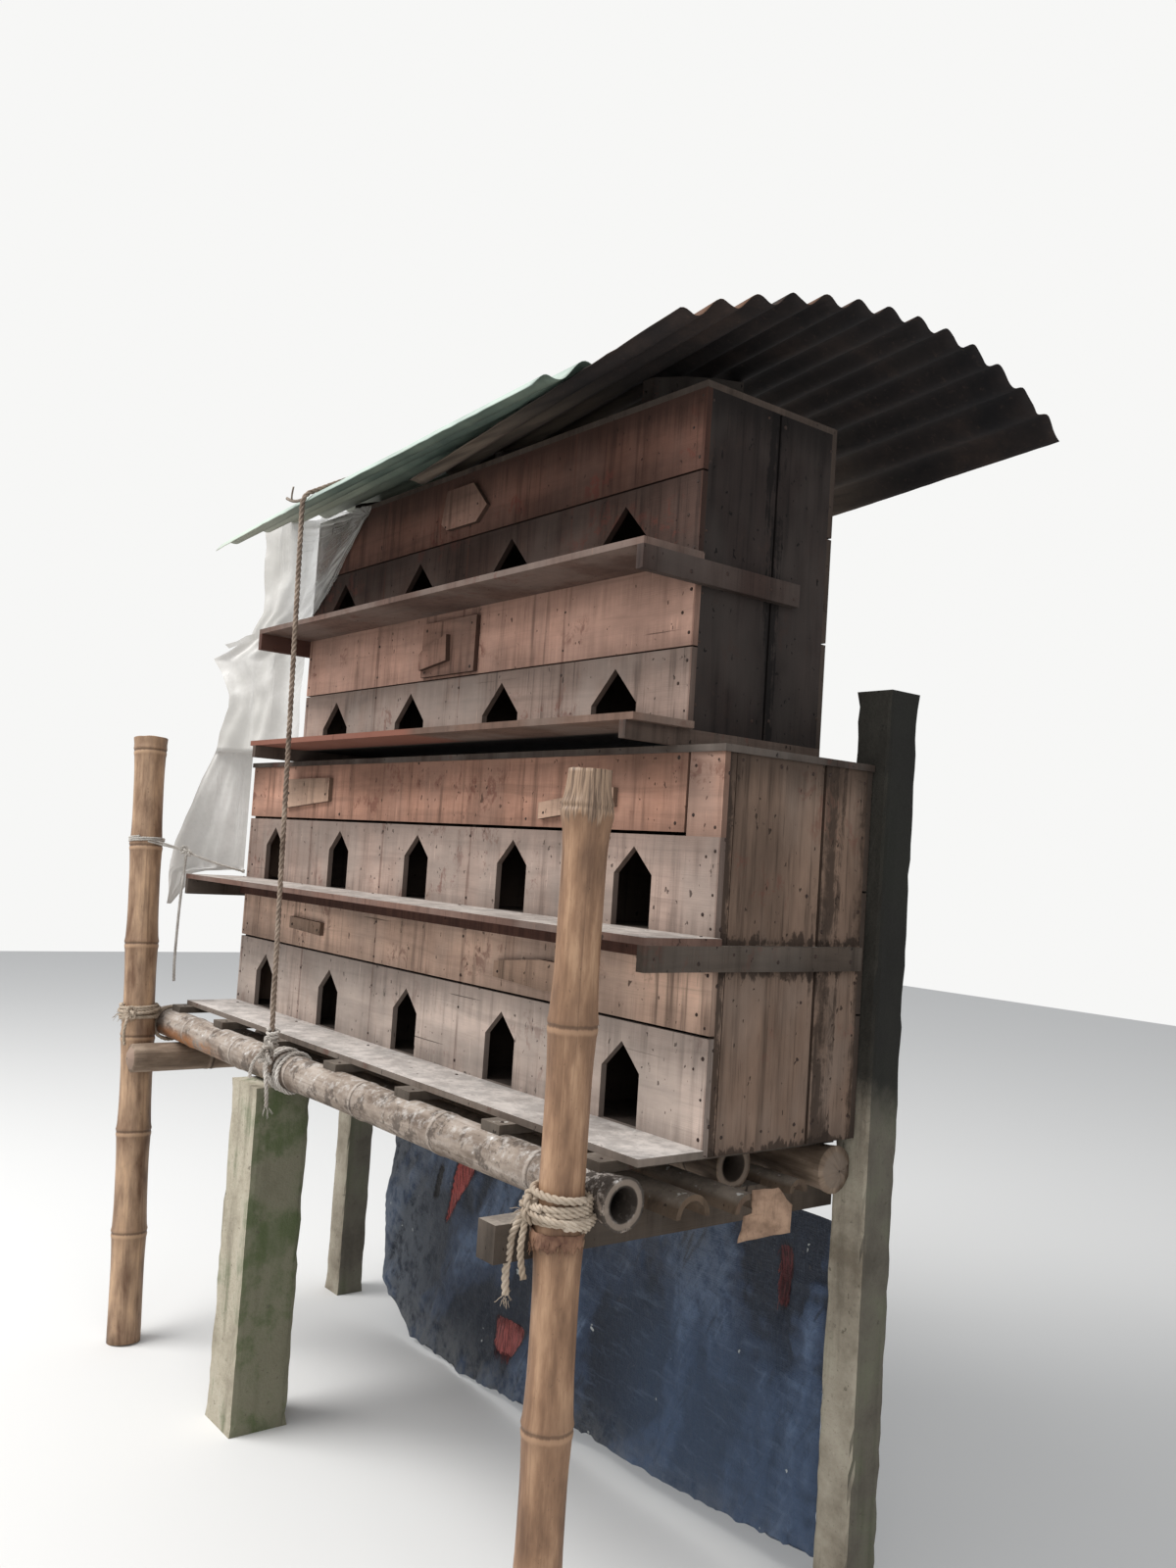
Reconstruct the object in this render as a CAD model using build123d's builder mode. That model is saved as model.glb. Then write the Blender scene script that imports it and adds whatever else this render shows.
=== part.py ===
"""Wooden dovecote: two stacked nest cabinets on a bamboo platform, under loose corrugated iron.

Millimetres. +Z is up, the fronts face -Y, and the ground is z = 0.
The origin is at the middle of the whole dovecote's outline, on the ground.
"""

import os
from math import cos, pi, sqrt

from build123d import *

os.makedirs("parts", exist_ok=True)

# Where the cabinets stand in the frame
cab_x = 45.3  # middle of the lower cabinet
deck_z = 700.0  # underside of the lower cabinet

# Boards and nests
board = 10.0  # thickness of every cabinet board
nest_pitch = 305.0  # one nest, 12 inches
lower_nests = 5
upper_nests = 4
lower_depth = 307.0
upper_depth = 279.0
tier_1_height = 279.0  # floor to floor
tier_2_height = 260.0
tier_3_height = 240.0
tier_4_height = 253.0
upper_inset = 93.0  # upper cabinet in from the right end of the lower one
upper_setback = 13.0  # upper front behind the lower front
top_overhang = 4.0  # lower top board past the front and sides

# Front boards: a board with the holes, and a plain board above it
seam_1 = 145.0  # height of each hole board above its floor
seam_2 = 134.0
seam_3 = 107.0
seam_4 = 121.0
seam_gap_1 = 4.0
seam_gap_2 = 5.0
seam_gap_3 = 2.5
seam_gap_4 = 3.0
tier_1_joint = 245.0  # joint in the plain board, from the right end
end_piece_width = 68.0  # fixed piece right of the long flap
end_piece_gap = 5.0

# Pigeon holes: upright sides and a pointed top
lower_hole_width = 84.0
lower_hole_side = 76.0
lower_hole_top = 116.0
lower_hole_shift = -19.0  # from the middle of its nest
upper_hole_width = 107.0
tier_3_hole_side = 34.0
tier_3_hole_top = 88.0
tier_4_hole_side = 44.0
tier_4_hole_top = 98.0
upper_hole_shift = -11.0

# Side planks
corner_strip = 12.0
strip_gap = 1.5
front_plank = 176.0
plank_gap = 6.0
upper_front_plank = 140.0
upper_plank_gap = 4.0
back_plank_gap = 3.0

# Landing boards and what carries them
landing_1_reach = 114.0
landing_1_overhang = 3.0  # past the cabinet's right end
landing_2_reach = 135.0
landing_3_reach = 113.0
landing_4_reach = 113.0
batten_thickness = 14.0
batten_height = 34.0
batten_rear_gap = 20.0
upper_batten_rear_gap = 80.0
bearer_height = 25.0  # battens between the two cabinets
ledger_depth = 12.0
ledger_height = 28.0
landing_3_joint = 860.0  # joint in the third landing board, from its right end
landing_joint_gap = 1.5

# Patches nailed over old holes: thickness
patch_thickness = 9.0

# Platform
pole_radius = 31.0
front_pole_y = -135.0  # from the lower front face
middle_pole_y = 150.0
rear_pole_inset = 29.0  # rear pole's axis, from the back of the lower cabinet
front_pole_left = -1610.0  # along x, from the right end of the lower cabinet
front_pole_right = 4.0
middle_pole_right = -88.0
rear_pole_right = -10.0
culm_wall = 10.0
node_swell = 1.05
pole_node_spacing = 250.0
pole_first_node = 200.0
split_wall = 8.0
rear_split_gap = 55.0  # rear split culm in front of the rear pole's middle
lath_thickness = 14.0
lath_width = 46.0
lath_overhang = 8.0  # laths in front of the front pole's axis
beam_width = 38.0
beam_height = 48.0
beam_right_x = -84.0
beam_front_y = -264.0
beam_rear_inset = 10.0  # beams short of the rear posts' back
cross_pole_radius = 30.0
cross_pole_front_y = -240.0
cross_node_spacing = 255.0
cross_first_node = 170.0
culm_bore = 60.0  # depth of the open ends

# Posts
right_post_radius = 30.0
right_post_x = -42.0
right_post_top = 1196.0
right_node_spacing = 205.0
right_first_node = 130.0
left_post_radius = 34.0
left_post_foot_x = -1492.0
left_post_top_x = -1637.0
left_post_top = 1297.0
left_post_y = -208.0
left_node_spacing = 190.0
left_first_node = 158.0
left_post_sunk = 10.0  # its leaning foot is cut off level at the ground
contact_gap = 0.2  # between pieces that touch
rear_post_size = 66.0
rear_post_right_x = 27.0
rear_post_top = 1362.0
front_post_size = 112.0
front_post_left_x = -1082.0
front_post_front_y = -190.0

# Roof
sheet = 1.2  # thickness of the iron
wave_pitch = 66.0
wave_depth = 17.0
wave_facets = 8
rusty_waves = 12.5
green_waves = 8.25
green_lead = 82.5  # green sheet's front edge ahead of the rusty one
sheet_lift = 12.7  # green sheet over the rusty one, which it crosses
roof_front_z = 1803.0  # first crest, at the right end
roof_rise = 133.0
green_rise = 141.0
roof_rear_drop = 90.0
ridge_run = 505.0  # front edge to the ridge, along the gable
rear_run = 325.0
roof_front_y = -133.0
roof_right = 3.0
rusty_length = 888.0
green_right = -246.0
green_length = 1158.0
gable_skew = 0.05
roof_skew = 0.13  # the rusty sheet lies askew, running back to the left
roof_fall = 0.026  # and falls to the left
green_fall = 0.0506
bearer_thickness = 24.0
right_bearer_inset = 220.0  # from the cabinet's right end
left_bearer_inset = 60.0
bearer_front_gap = 20.0
rusty_overhang = 340.0  # bearers past the back of the cabinet
green_overhang = 30.0
bearer_gap = 0.5

# Lashings, rope and cloth
rope_radius = 5.0
rope_x = -960.0
rope_slant = 16.0  # top of the rope, to the left of its foot
rope_lift = 8.0  # over the crests
rope_front_gap = 13.0  # ahead of the sheet's front edge
rope_rear_gap = 14.0
rope_bend = 12.0
lash_thickness = 7.0
lash_height = 34.0
lash_drop = 36.0  # foot of the right lashing, below the poles
left_lash_height = 30.0
left_lash_thickness = 6.0
left_lash_up = -17.0  # up the left post from the deck
tie_height = 14.0
tie_up = 365.0
tarp_left = -1335.0
tarp_right = -52.0
tarp_thickness = 2.0
film_thickness = 1.0
film_reach = 400.0  # more than the film hangs out from the front
film_step = 572.0  # where the film lies over the lower cabinet's top

# Derived places
rear_pole_y = lower_depth - rear_pole_inset
rusty_run = rusty_waves * wave_pitch
outline_rear = roof_front_y + roof_skew * rusty_length + rusty_run / sqrt(1 + gable_skew**2)
cab_y = -(beam_front_y + outline_rear) / 2  # front face of the lower cabinet
right_post_y = front_pole_y - pole_radius - right_post_radius - contact_gap
tarp_y = cab_y + rear_pole_y + node_swell * pole_radius + contact_gap
rear_post_y = rear_pole_y + pole_radius + contact_gap
lower_width = lower_nests * nest_pitch + board
upper_width = upper_nests * nest_pitch + board
lower_left = cab_x - lower_width / 2
lower_right = cab_x + lower_width / 2
upper_right = lower_right - upper_inset
upper_left = upper_right - upper_width
upper_y = cab_y + upper_setback
floor_1 = deck_z + board
floor_2 = floor_1 + tier_1_height
lower_top = floor_2 + tier_2_height
upper_base = lower_top + bearer_height
floor_3 = upper_base + board
floor_4 = floor_3 + tier_3_height
upper_top = floor_4 + tier_4_height


def finish(piece, name):
    """Label one piece and write it."""
    piece.part.label = name
    export_step(piece.part, f"parts/{name}.step")


def plank(x_min, x_max, y_min, y_max, z_min, z_max, mode=Mode.ADD):
    """A sawn board or batten between six planes."""
    with Locations(((x_min + x_max) / 2, (y_min + y_max) / 2, (z_min + z_max) / 2)):
        Box(x_max - x_min, y_max - y_min, z_max - z_min, mode=mode)


def hole_board(x_min, x_max, y_front, z_sill, seam, nests, width, side, top, shift):
    """A front board with a house-shaped pigeon hole into each nest."""
    plank(x_min, x_max, y_front, y_front + board, z_sill - board, z_sill + seam)
    first = x_max - board / 2 - nest_pitch / 2 + shift
    with BuildSketch(Plane.XZ.offset(-(y_front + board))) as outlines:
        with Locations(*[(first - nest * nest_pitch, z_sill) for nest in range(nests)]):
            Polygon(
                (-width / 2, 0),
                (width / 2, 0),
                (width / 2, side),
                (0, top),
                (-width / 2, side),
                align=None,
            )
    extrude(outlines.sketch, amount=board, mode=Mode.SUBTRACT)


def culm(foot, length, radius, node_spacing, first_node):
    """A bamboo culm standing on a plane, with raised nodes and hollow cut ends."""
    node_radius = radius * node_swell
    points = [(0, 0), (radius, 0)]
    node = first_node
    while node < length - 25:
        points += [
            (radius, node - 14),
            (node_radius, node - 3),
            (radius, node),
            (node_radius, node + 4),
            (radius, node + 12),
        ]
        node += node_spacing
    points += [(radius, length), (0, length)]
    with BuildSketch(Plane(foot.origin, foot.x_dir, foot.x_dir.cross(foot.z_dir))) as profile:
        Polygon(*points, align=None)
    revolve(profile.sketch, axis=Axis(foot.origin, foot.z_dir))
    with BuildSketch(foot) as bore:
        Circle(radius - culm_wall)
    extrude(bore.sketch, amount=culm_bore, mode=Mode.SUBTRACT)
    with BuildSketch(foot.offset(length - culm_bore)) as far_bore:
        Circle(radius - culm_wall)
    extrude(far_bore.sketch, amount=culm_bore, mode=Mode.SUBTRACT)


# Lower cabinet: carcase
with BuildPart() as lower_floor:
    plank(
        lower_left + board,
        lower_right - board,
        cab_y + board,
        cab_y + lower_depth - board,
        deck_z,
        floor_1,
    )
finish(lower_floor, "lower_floor")

with BuildPart() as lower_shelf:
    plank(
        lower_left + board,
        lower_right - board,
        cab_y + board,
        cab_y + lower_depth - board,
        floor_2 - board,
        floor_2,
    )
finish(lower_shelf, "lower_shelf")

with BuildPart() as lower_top_board:
    plank(
        lower_left - top_overhang,
        lower_right + top_overhang,
        cab_y - top_overhang,
        cab_y + lower_depth,
        lower_top - board,
        lower_top,
    )
finish(lower_top_board, "lower_top_board")

for side_name, face_x, inward in (
    ("lower_right_side", lower_right, -board),
    ("lower_left_side", lower_left, board),
):
    side_x = sorted((face_x, face_x + inward))
    strip_back = cab_y + board + corner_strip
    plank_back = strip_back + strip_gap + front_plank
    with BuildPart() as lower_side:
        plank(*side_x, cab_y + board, strip_back, deck_z, lower_top - board)
        plank(*side_x, strip_back + strip_gap, plank_back, deck_z, lower_top - board)
        plank(*side_x, plank_back + plank_gap, cab_y + lower_depth - board, deck_z, lower_top - board)
    finish(lower_side, side_name)

with BuildPart() as lower_back:
    back_height = (lower_top - board - deck_z - 2 * back_plank_gap) / 3
    for row in range(3):
        row_z = deck_z + row * (back_height + back_plank_gap)
        plank(
            lower_left,
            lower_right,
            cab_y + lower_depth - board,
            cab_y + lower_depth,
            row_z,
            row_z + back_height,
        )
finish(lower_back, "lower_back")

with BuildPart() as lower_partitions:
    for floor_z, ceiling_z in ((floor_1, floor_2 - board), (floor_2, lower_top - board)):
        for nest in range(1, lower_nests):
            wall_x = lower_left + nest * nest_pitch
            plank(wall_x, wall_x + board, cab_y + board, cab_y + lower_depth - board, floor_z, ceiling_z)
finish(lower_partitions, "lower_partitions")

# Lower cabinet: front
with BuildPart() as tier_1_hole_board:
    hole_board(
        lower_left,
        lower_right,
        cab_y,
        floor_1,
        seam_1,
        lower_nests,
        lower_hole_width,
        lower_hole_side,
        lower_hole_top,
        lower_hole_shift,
    )
finish(tier_1_hole_board, "tier_1_hole_board")

with BuildPart() as tier_1_upper_board:
    joint_x = lower_right - tier_1_joint
    for x_min, x_max in ((lower_left, joint_x), (joint_x + landing_joint_gap, lower_right)):
        plank(x_min, x_max, cab_y, cab_y + board, floor_1 + seam_1 + seam_gap_1, floor_2 - board)
finish(tier_1_upper_board, "tier_1_upper_board")

with BuildPart() as tier_2_hole_board:
    hole_board(
        lower_left,
        lower_right,
        cab_y,
        floor_2,
        seam_2,
        lower_nests,
        lower_hole_width,
        lower_hole_side,
        lower_hole_top,
        lower_hole_shift,
    )
finish(tier_2_hole_board, "tier_2_hole_board")

with BuildPart() as tier_2_flap:
    plank(
        lower_left,
        lower_right - end_piece_width - end_piece_gap,
        cab_y,
        cab_y + board,
        floor_2 + seam_2 + seam_gap_2,
        lower_top - board,
    )
finish(tier_2_flap, "tier_2_flap")

with BuildPart() as tier_2_end_piece:
    plank(
        lower_right - end_piece_width,
        lower_right,
        cab_y,
        cab_y + board,
        floor_2 + seam_2,
        lower_top - board,
    )
finish(tier_2_end_piece, "tier_2_end_piece")

# Lower cabinet: landing boards
with BuildPart() as tier_1_landing:
    plank(lower_left, lower_right + landing_1_overhang, cab_y - landing_1_reach, cab_y, deck_z, floor_1)
finish(tier_1_landing, "tier_1_landing")

with BuildPart() as tier_2_landing:
    plank(
        lower_left - batten_thickness,
        lower_right + batten_thickness,
        cab_y - landing_2_reach,
        cab_y,
        floor_2 - board,
        floor_2,
    )
finish(tier_2_landing, "tier_2_landing")

with BuildPart() as lower_battens:
    for batten_x in (lower_left - batten_thickness, lower_right):
        plank(
            batten_x,
            batten_x + batten_thickness,
            cab_y - landing_2_reach,
            cab_y + lower_depth - batten_rear_gap,
            floor_2 - board - batten_height,
            floor_2 - board,
        )
finish(lower_battens, "lower_battens")

with BuildPart() as tier_2_ledger:
    plank(
        lower_left,
        lower_right,
        cab_y - ledger_depth,
        cab_y,
        floor_2 - board - ledger_height,
        floor_2 - board,
    )
finish(tier_2_ledger, "tier_2_ledger")

# Upper cabinet: carcase
with BuildPart() as upper_floor:
    plank(
        upper_left + board,
        upper_right - board,
        upper_y + board,
        upper_y + upper_depth - board,
        upper_base,
        floor_3,
    )
finish(upper_floor, "upper_floor")

with BuildPart() as upper_shelf:
    plank(
        upper_left + board,
        upper_right - board,
        upper_y + board,
        upper_y + upper_depth - board,
        floor_4 - board,
        floor_4,
    )
finish(upper_shelf, "upper_shelf")

with BuildPart() as upper_top_board:
    plank(upper_left, upper_right, upper_y, upper_y + upper_depth, upper_top - board, upper_top)
finish(upper_top_board, "upper_top_board")

for side_name, face_x, inward in (
    ("upper_right_side", upper_right, -board),
    ("upper_left_side", upper_left, board),
):
    side_x = sorted((face_x, face_x + inward))
    plank_back = upper_y + board + upper_front_plank
    side_back = upper_y + upper_depth - board
    with BuildPart() as upper_side:
        plank(*side_x, upper_y + board, plank_back, upper_base, upper_top - board)
        plank(*side_x, plank_back + upper_plank_gap, side_back, upper_base, upper_top - board)
    finish(upper_side, side_name)

with BuildPart() as upper_back:
    back_height = (upper_top - board - upper_base - 2 * back_plank_gap) / 3
    for row in range(3):
        row_z = upper_base + row * (back_height + back_plank_gap)
        plank(
            upper_left,
            upper_right,
            upper_y + upper_depth - board,
            upper_y + upper_depth,
            row_z,
            row_z + back_height,
        )
finish(upper_back, "upper_back")

with BuildPart() as upper_partitions:
    for floor_z, ceiling_z in ((floor_3, floor_4 - board), (floor_4, upper_top - board)):
        for nest in range(1, upper_nests):
            wall_x = upper_left + nest * nest_pitch
            wall_back = upper_y + upper_depth - board
            plank(wall_x, wall_x + board, upper_y + board, wall_back, floor_z, ceiling_z)
finish(upper_partitions, "upper_partitions")

# Upper cabinet: front
with BuildPart() as tier_3_hole_board:
    hole_board(
        upper_left,
        upper_right,
        upper_y,
        floor_3,
        seam_3,
        upper_nests,
        upper_hole_width,
        tier_3_hole_side,
        tier_3_hole_top,
        upper_hole_shift,
    )
finish(tier_3_hole_board, "tier_3_hole_board")

with BuildPart() as tier_3_upper_board:
    plank(upper_left, upper_right, upper_y, upper_y + board, floor_3 + seam_3 + seam_gap_3, floor_4 - board)
finish(tier_3_upper_board, "tier_3_upper_board")

with BuildPart() as tier_4_hole_board:
    hole_board(
        upper_left,
        upper_right,
        upper_y,
        floor_4,
        seam_4,
        upper_nests,
        upper_hole_width,
        tier_4_hole_side,
        tier_4_hole_top,
        upper_hole_shift,
    )
finish(tier_4_hole_board, "tier_4_hole_board")

with BuildPart() as tier_4_upper_board:
    board_foot = floor_4 + seam_4 + seam_gap_4
    plank(upper_left, upper_right, upper_y, upper_y + board, board_foot, upper_top - board)
finish(tier_4_upper_board, "tier_4_upper_board")

# Upper cabinet: landing boards and their battens
with BuildPart() as tier_3_landing:
    joint_x = upper_right - landing_3_joint
    for x_min, x_max in (
        (upper_left - batten_thickness, joint_x - landing_joint_gap),
        (joint_x, upper_right + batten_thickness),
    ):
        plank(x_min, x_max, upper_y - landing_3_reach, upper_y, floor_3 - board, floor_3)
finish(tier_3_landing, "tier_3_landing")

with BuildPart() as tier_4_landing:
    plank(
        upper_left - batten_thickness,
        upper_right + batten_thickness,
        upper_y - landing_4_reach,
        upper_y,
        floor_4 - board,
        floor_4,
    )
finish(tier_4_landing, "tier_4_landing")

with BuildPart() as bearer_battens:
    for batten_x in (upper_left, upper_right - batten_thickness):
        plank(
            batten_x,
            batten_x + batten_thickness,
            upper_y - landing_3_reach,
            upper_y + upper_depth,
            lower_top,
            upper_base,
        )
finish(bearer_battens, "bearer_battens")

with BuildPart() as upper_battens:
    for batten_x in (upper_left - batten_thickness, upper_right):
        plank(
            batten_x,
            batten_x + batten_thickness,
            upper_y - landing_4_reach,
            upper_y + upper_depth - upper_batten_rear_gap,
            floor_4 - board - batten_height,
            floor_4 - board,
        )
finish(upper_battens, "upper_battens")

# Scraps of board nailed on the fronts
with BuildPart() as lower_patches:
    tier_1_z = floor_1 + seam_1 + seam_gap_1
    tier_2_z = floor_2 + seam_2 + seam_gap_2
    with BuildSketch(Plane.XZ.offset(-cab_y)):
        with Locations((lower_right, tier_1_z)):
            Polygon((-500, 22), (-374, 16), (-244, 20), (-244, 60), (-374, 62), (-500, 48), align=None)
            Polygon((-1271, 36), (-1129, 31), (-1129, 57), (-1271, 60), align=None)
        with Locations((lower_right, tier_2_z)):
            Polygon((-1340, 20), (-1138, 36), (-1138, 84), (-1340, 82), align=None)
            Polygon((-406, 12), (-221, 34), (-221, 62), (-406, 38), align=None)
    extrude(amount=patch_thickness)
finish(lower_patches, "lower_patches")

with BuildPart() as upper_patches:
    tier_3_z = floor_3 + seam_3 + seam_gap_3
    tier_4_z = floor_4 + seam_4 + seam_gap_4
    with BuildSketch(Plane.XZ.offset(-upper_y)):
        with Locations((lower_right, tier_3_z)):
            Polygon((-826, 4), (-646, 4), (-646, 104), (-826, 104), align=None)
        with Locations((lower_right, tier_4_z)):
            Polygon((-790, 34), (-770, 20), (-672, 20), (-640, 46), (-688, 94), (-776, 94), align=None)
    extrude(amount=patch_thickness)
    with BuildSketch(Plane.XZ.offset(-upper_y + patch_thickness)):
        with Locations((lower_right, tier_3_z)):
            Polygon((-820, 16), (-726, 28), (-730, 76), (-806, 56), (-822, 46), align=None)
    extrude(amount=patch_thickness)
finish(upper_patches, "upper_patches")

# Platform: poles along the front, middle and back
pole_z = deck_z - lath_thickness - pole_radius
for pole_name, pole_y, left_x, right_x in (
    ("front_pole", front_pole_y, front_pole_left, front_pole_right),
    ("middle_pole", middle_pole_y, front_pole_left, middle_pole_right),
    ("rear_pole", rear_pole_y, front_pole_left, rear_pole_right),
):
    pole_foot = Plane((lower_right + left_x, cab_y + pole_y, pole_z), x_dir=(0, 1, 0), z_dir=(1, 0, 0))
    with BuildPart() as pole:
        culm(pole_foot, right_x - left_x, pole_radius, pole_node_spacing, pole_first_node)
    finish(pole, pole_name)

# Thin laths on the poles, carrying the lower cabinet and its landing board
with BuildPart() as deck_laths:
    for lath_x in (-1520.0, -1285.0, -1035.0, -785.0, -535.0, -285.0, -60.0):
        plank(
            lower_right + lath_x - lath_width / 2,
            lower_right + lath_x + lath_width / 2,
            cab_y + front_pole_y - lath_overhang,
            cab_y + lower_depth,
            deck_z - lath_thickness,
            deck_z,
        )
finish(deck_laths, "deck_laths")

# Beams under the poles
beam_top = pole_z - pole_radius
with BuildPart() as right_beam:
    plank(
        lower_right + beam_right_x - beam_width,
        lower_right + beam_right_x,
        cab_y + beam_front_y,
        cab_y + rear_post_y + rear_post_size - beam_rear_inset,
        beam_top - beam_height,
        beam_top,
    )
finish(right_beam, "right_beam")

post_lean = left_post_foot_x - left_post_top_x
post_direction = Vector(-post_lean, 0, left_post_top).normalized()
left_foot = (lower_right + left_post_foot_x, cab_y + left_post_y, -left_post_sunk)
cross_z = beam_top - cross_pole_radius
cross_gap = left_post_radius + cross_pole_radius + contact_gap
cross_lean = post_direction.X * (cross_z - left_foot[2])
cross_pole_x = left_post_foot_x + (cross_lean + cross_gap) / post_direction.Z
cross_origin = (lower_right + cross_pole_x, cab_y + cross_pole_front_y, cross_z)
cross_length = rear_post_y + rear_post_size - cross_pole_front_y - beam_rear_inset
with BuildPart() as left_beam:
    cross_foot = Plane(cross_origin, x_dir=(1, 0, 0), z_dir=(0, 1, 0))
    culm(cross_foot, cross_length, cross_pole_radius, cross_node_spacing, cross_first_node)
finish(left_beam, "left_beam")

# Split culms lying round side up on the beams
with BuildPart() as split_culms:
    for split_y, right_x, left_x, split_radius in (
        (-9.0, 0.0, -1560.0, 30.0),
        (79.0, 15.0, -1545.0, 25.0),
        (rear_pole_y - rear_split_gap, -26.0, -1570.0, 19.0),
    ):
        with BuildSketch(Plane.YZ.offset(lower_right + left_x)):
            with Locations((cab_y + split_y, beam_top)):
                Circle(split_radius)
                Circle(split_radius - split_wall, mode=Mode.SUBTRACT)
                Rectangle(
                    2 * split_radius,
                    split_radius,
                    align=(Align.CENTER, Align.MAX),
                    mode=Mode.SUBTRACT,
                )
        extrude(amount=right_x - left_x)
finish(split_culms, "split_culms")

# Posts of bamboo in front
right_foot = Plane((lower_right + right_post_x, cab_y + right_post_y, 0))
with BuildPart() as right_post:
    culm(right_foot, right_post_top, right_post_radius, right_node_spacing, right_first_node)
finish(right_post, "right_post")

left_axis = Plane(left_foot, x_dir=(0, 1, 0), z_dir=post_direction)
with BuildPart() as left_post:
    culm(left_axis, left_post_top, left_post_radius, left_node_spacing, left_first_node)
    with Locations((left_foot[0], left_foot[1], 0)):
        Box(
            4 * left_post_radius,
            4 * left_post_radius,
            4 * left_post_sunk,
            align=(Align.CENTER, Align.CENTER, Align.MAX),
            mode=Mode.SUBTRACT,
        )
finish(left_post, "left_post")

# Posts of concrete
rear_left_x = lower_right + cross_pole_x - cross_pole_radius - rear_post_size - contact_gap
with BuildPart() as rear_posts:
    for post_x in (lower_right + rear_post_right_x - rear_post_size, rear_left_x):
        plank(
            post_x,
            post_x + rear_post_size,
            cab_y + rear_post_y,
            cab_y + rear_post_y + rear_post_size,
            0,
            rear_post_top,
        )
finish(rear_posts, "rear_posts")

with BuildPart() as front_post:
    front_post_x = lower_right + front_post_left_x
    front_post_y = cab_y + front_post_front_y
    plank(
        front_post_x,
        front_post_x + front_post_size,
        front_post_y,
        front_post_y + front_post_size,
        0,
        pole_z - pole_radius,
    )
finish(front_post, "front_post")


def roof_crest(run, rise):
    """Height of a sheet's crests at a distance back along the gable."""
    if run < ridge_run:
        return roof_front_z + rise * (1 - ((ridge_run - run) / ridge_run) ** 2)
    return roof_front_z + rise - roof_rear_drop * ((run - ridge_run) / rear_run) ** 2


def roof_surface(run, rise):
    """Height of the corrugated sheet, counted from a crest."""
    return roof_crest(run, rise) - wave_depth / 2 * (1 - cos(2 * pi * run / wave_pitch))


def sheet_corner(right_x):
    """Where a sheet's crest 0 starts at its right end, on the line of the roof's front."""
    back = lower_right + roof_right - right_x
    return (right_x, cab_y + roof_front_y + roof_skew * back, -roof_fall * back)


def roof_run(x, y, right_x, skew, fall):
    """Distance back along the gable, and drop of the sheet, above one place on plan."""
    corner = sheet_corner(right_x)
    along = 1 / sqrt(1 + gable_skew**2)
    run = (y - corner[1] - skew * (right_x - x)) / (along * (1 + gable_skew * skew))
    return run, fall * (right_x - x + along * gable_skew * run) - corner[2]


def roof_sheet(right_x, front_run, waves, length, lift, rise, skew, fall):
    """A corrugated sheet laid along X, falling to the left."""
    gable = Plane(sheet_corner(right_x), x_dir=(gable_skew, 1, 0), z_dir=(1, -gable_skew, 0))
    runs = [front_run + step * wave_pitch / wave_facets for step in range(int(waves * wave_facets) + 1)]
    upper_edge = [(run, roof_surface(run, rise) + lift + sheet) for run in runs]
    lower_edge = [(run, roof_surface(run, rise) + lift) for run in reversed(runs)]
    with BuildSketch(gable) as band:
        Polygon(*upper_edge, *lower_edge, align=None)
    lay = Vector(-1, skew, -fall)
    extrude(band.sketch, amount=length * lay.length, dir=lay.normalized())


# Roof
rusty_x = lower_right + roof_right
green_x = lower_right + green_right
green_lift = sheet + sheet_lift
with BuildPart() as rusty_sheet:
    roof_sheet(rusty_x, 0.0, rusty_waves, rusty_length, 0.0, roof_rise, roof_skew, roof_fall)
finish(rusty_sheet, "rusty_sheet")

with BuildPart() as green_sheet:
    roof_sheet(green_x, -green_lead, green_waves, green_length, green_lift, green_rise, 0.0, green_fall)
finish(green_sheet, "green_sheet")

# Bearers on the upper cabinet's top, cut to the sheet that each one carries
with BuildPart() as roof_bearers:
    under_rusty = (rusty_x, roof_skew, roof_fall)
    under_green = (green_x, 0.0, green_fall)
    for bearer_x, overhang, laid, rise, lift in (
        (upper_right - right_bearer_inset, 0.0, under_rusty, roof_rise, 0.0),
        ((upper_left + upper_right) / 2, rusty_overhang, under_rusty, roof_rise, 0.0),
        (upper_left + left_bearer_inset, green_overhang, under_green, green_rise, green_lift),
    ):
        tops = []
        for wave in range(int(rusty_waves)):
            trough = (wave + 0.5) * wave_pitch
            face_x = bearer_x if trough < ridge_run else bearer_x + bearer_thickness
            run, drop = roof_run(face_x, cab_y, *laid)
            y = cab_y + (trough - run) / (1 - gable_skew * laid[1])
            run, drop = roof_run(face_x, y, *laid)
            if upper_y + bearer_front_gap < y < upper_y + upper_depth + overhang:
                tops.append((y, roof_surface(trough, rise) + lift - drop - bearer_gap))
        with BuildSketch(Plane.YZ.offset(bearer_x)):
            Polygon((tops[0][0], upper_top), (tops[-1][0], upper_top), *reversed(tops), align=None)
        extrude(amount=bearer_thickness)
finish(roof_bearers, "roof_bearers")

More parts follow.
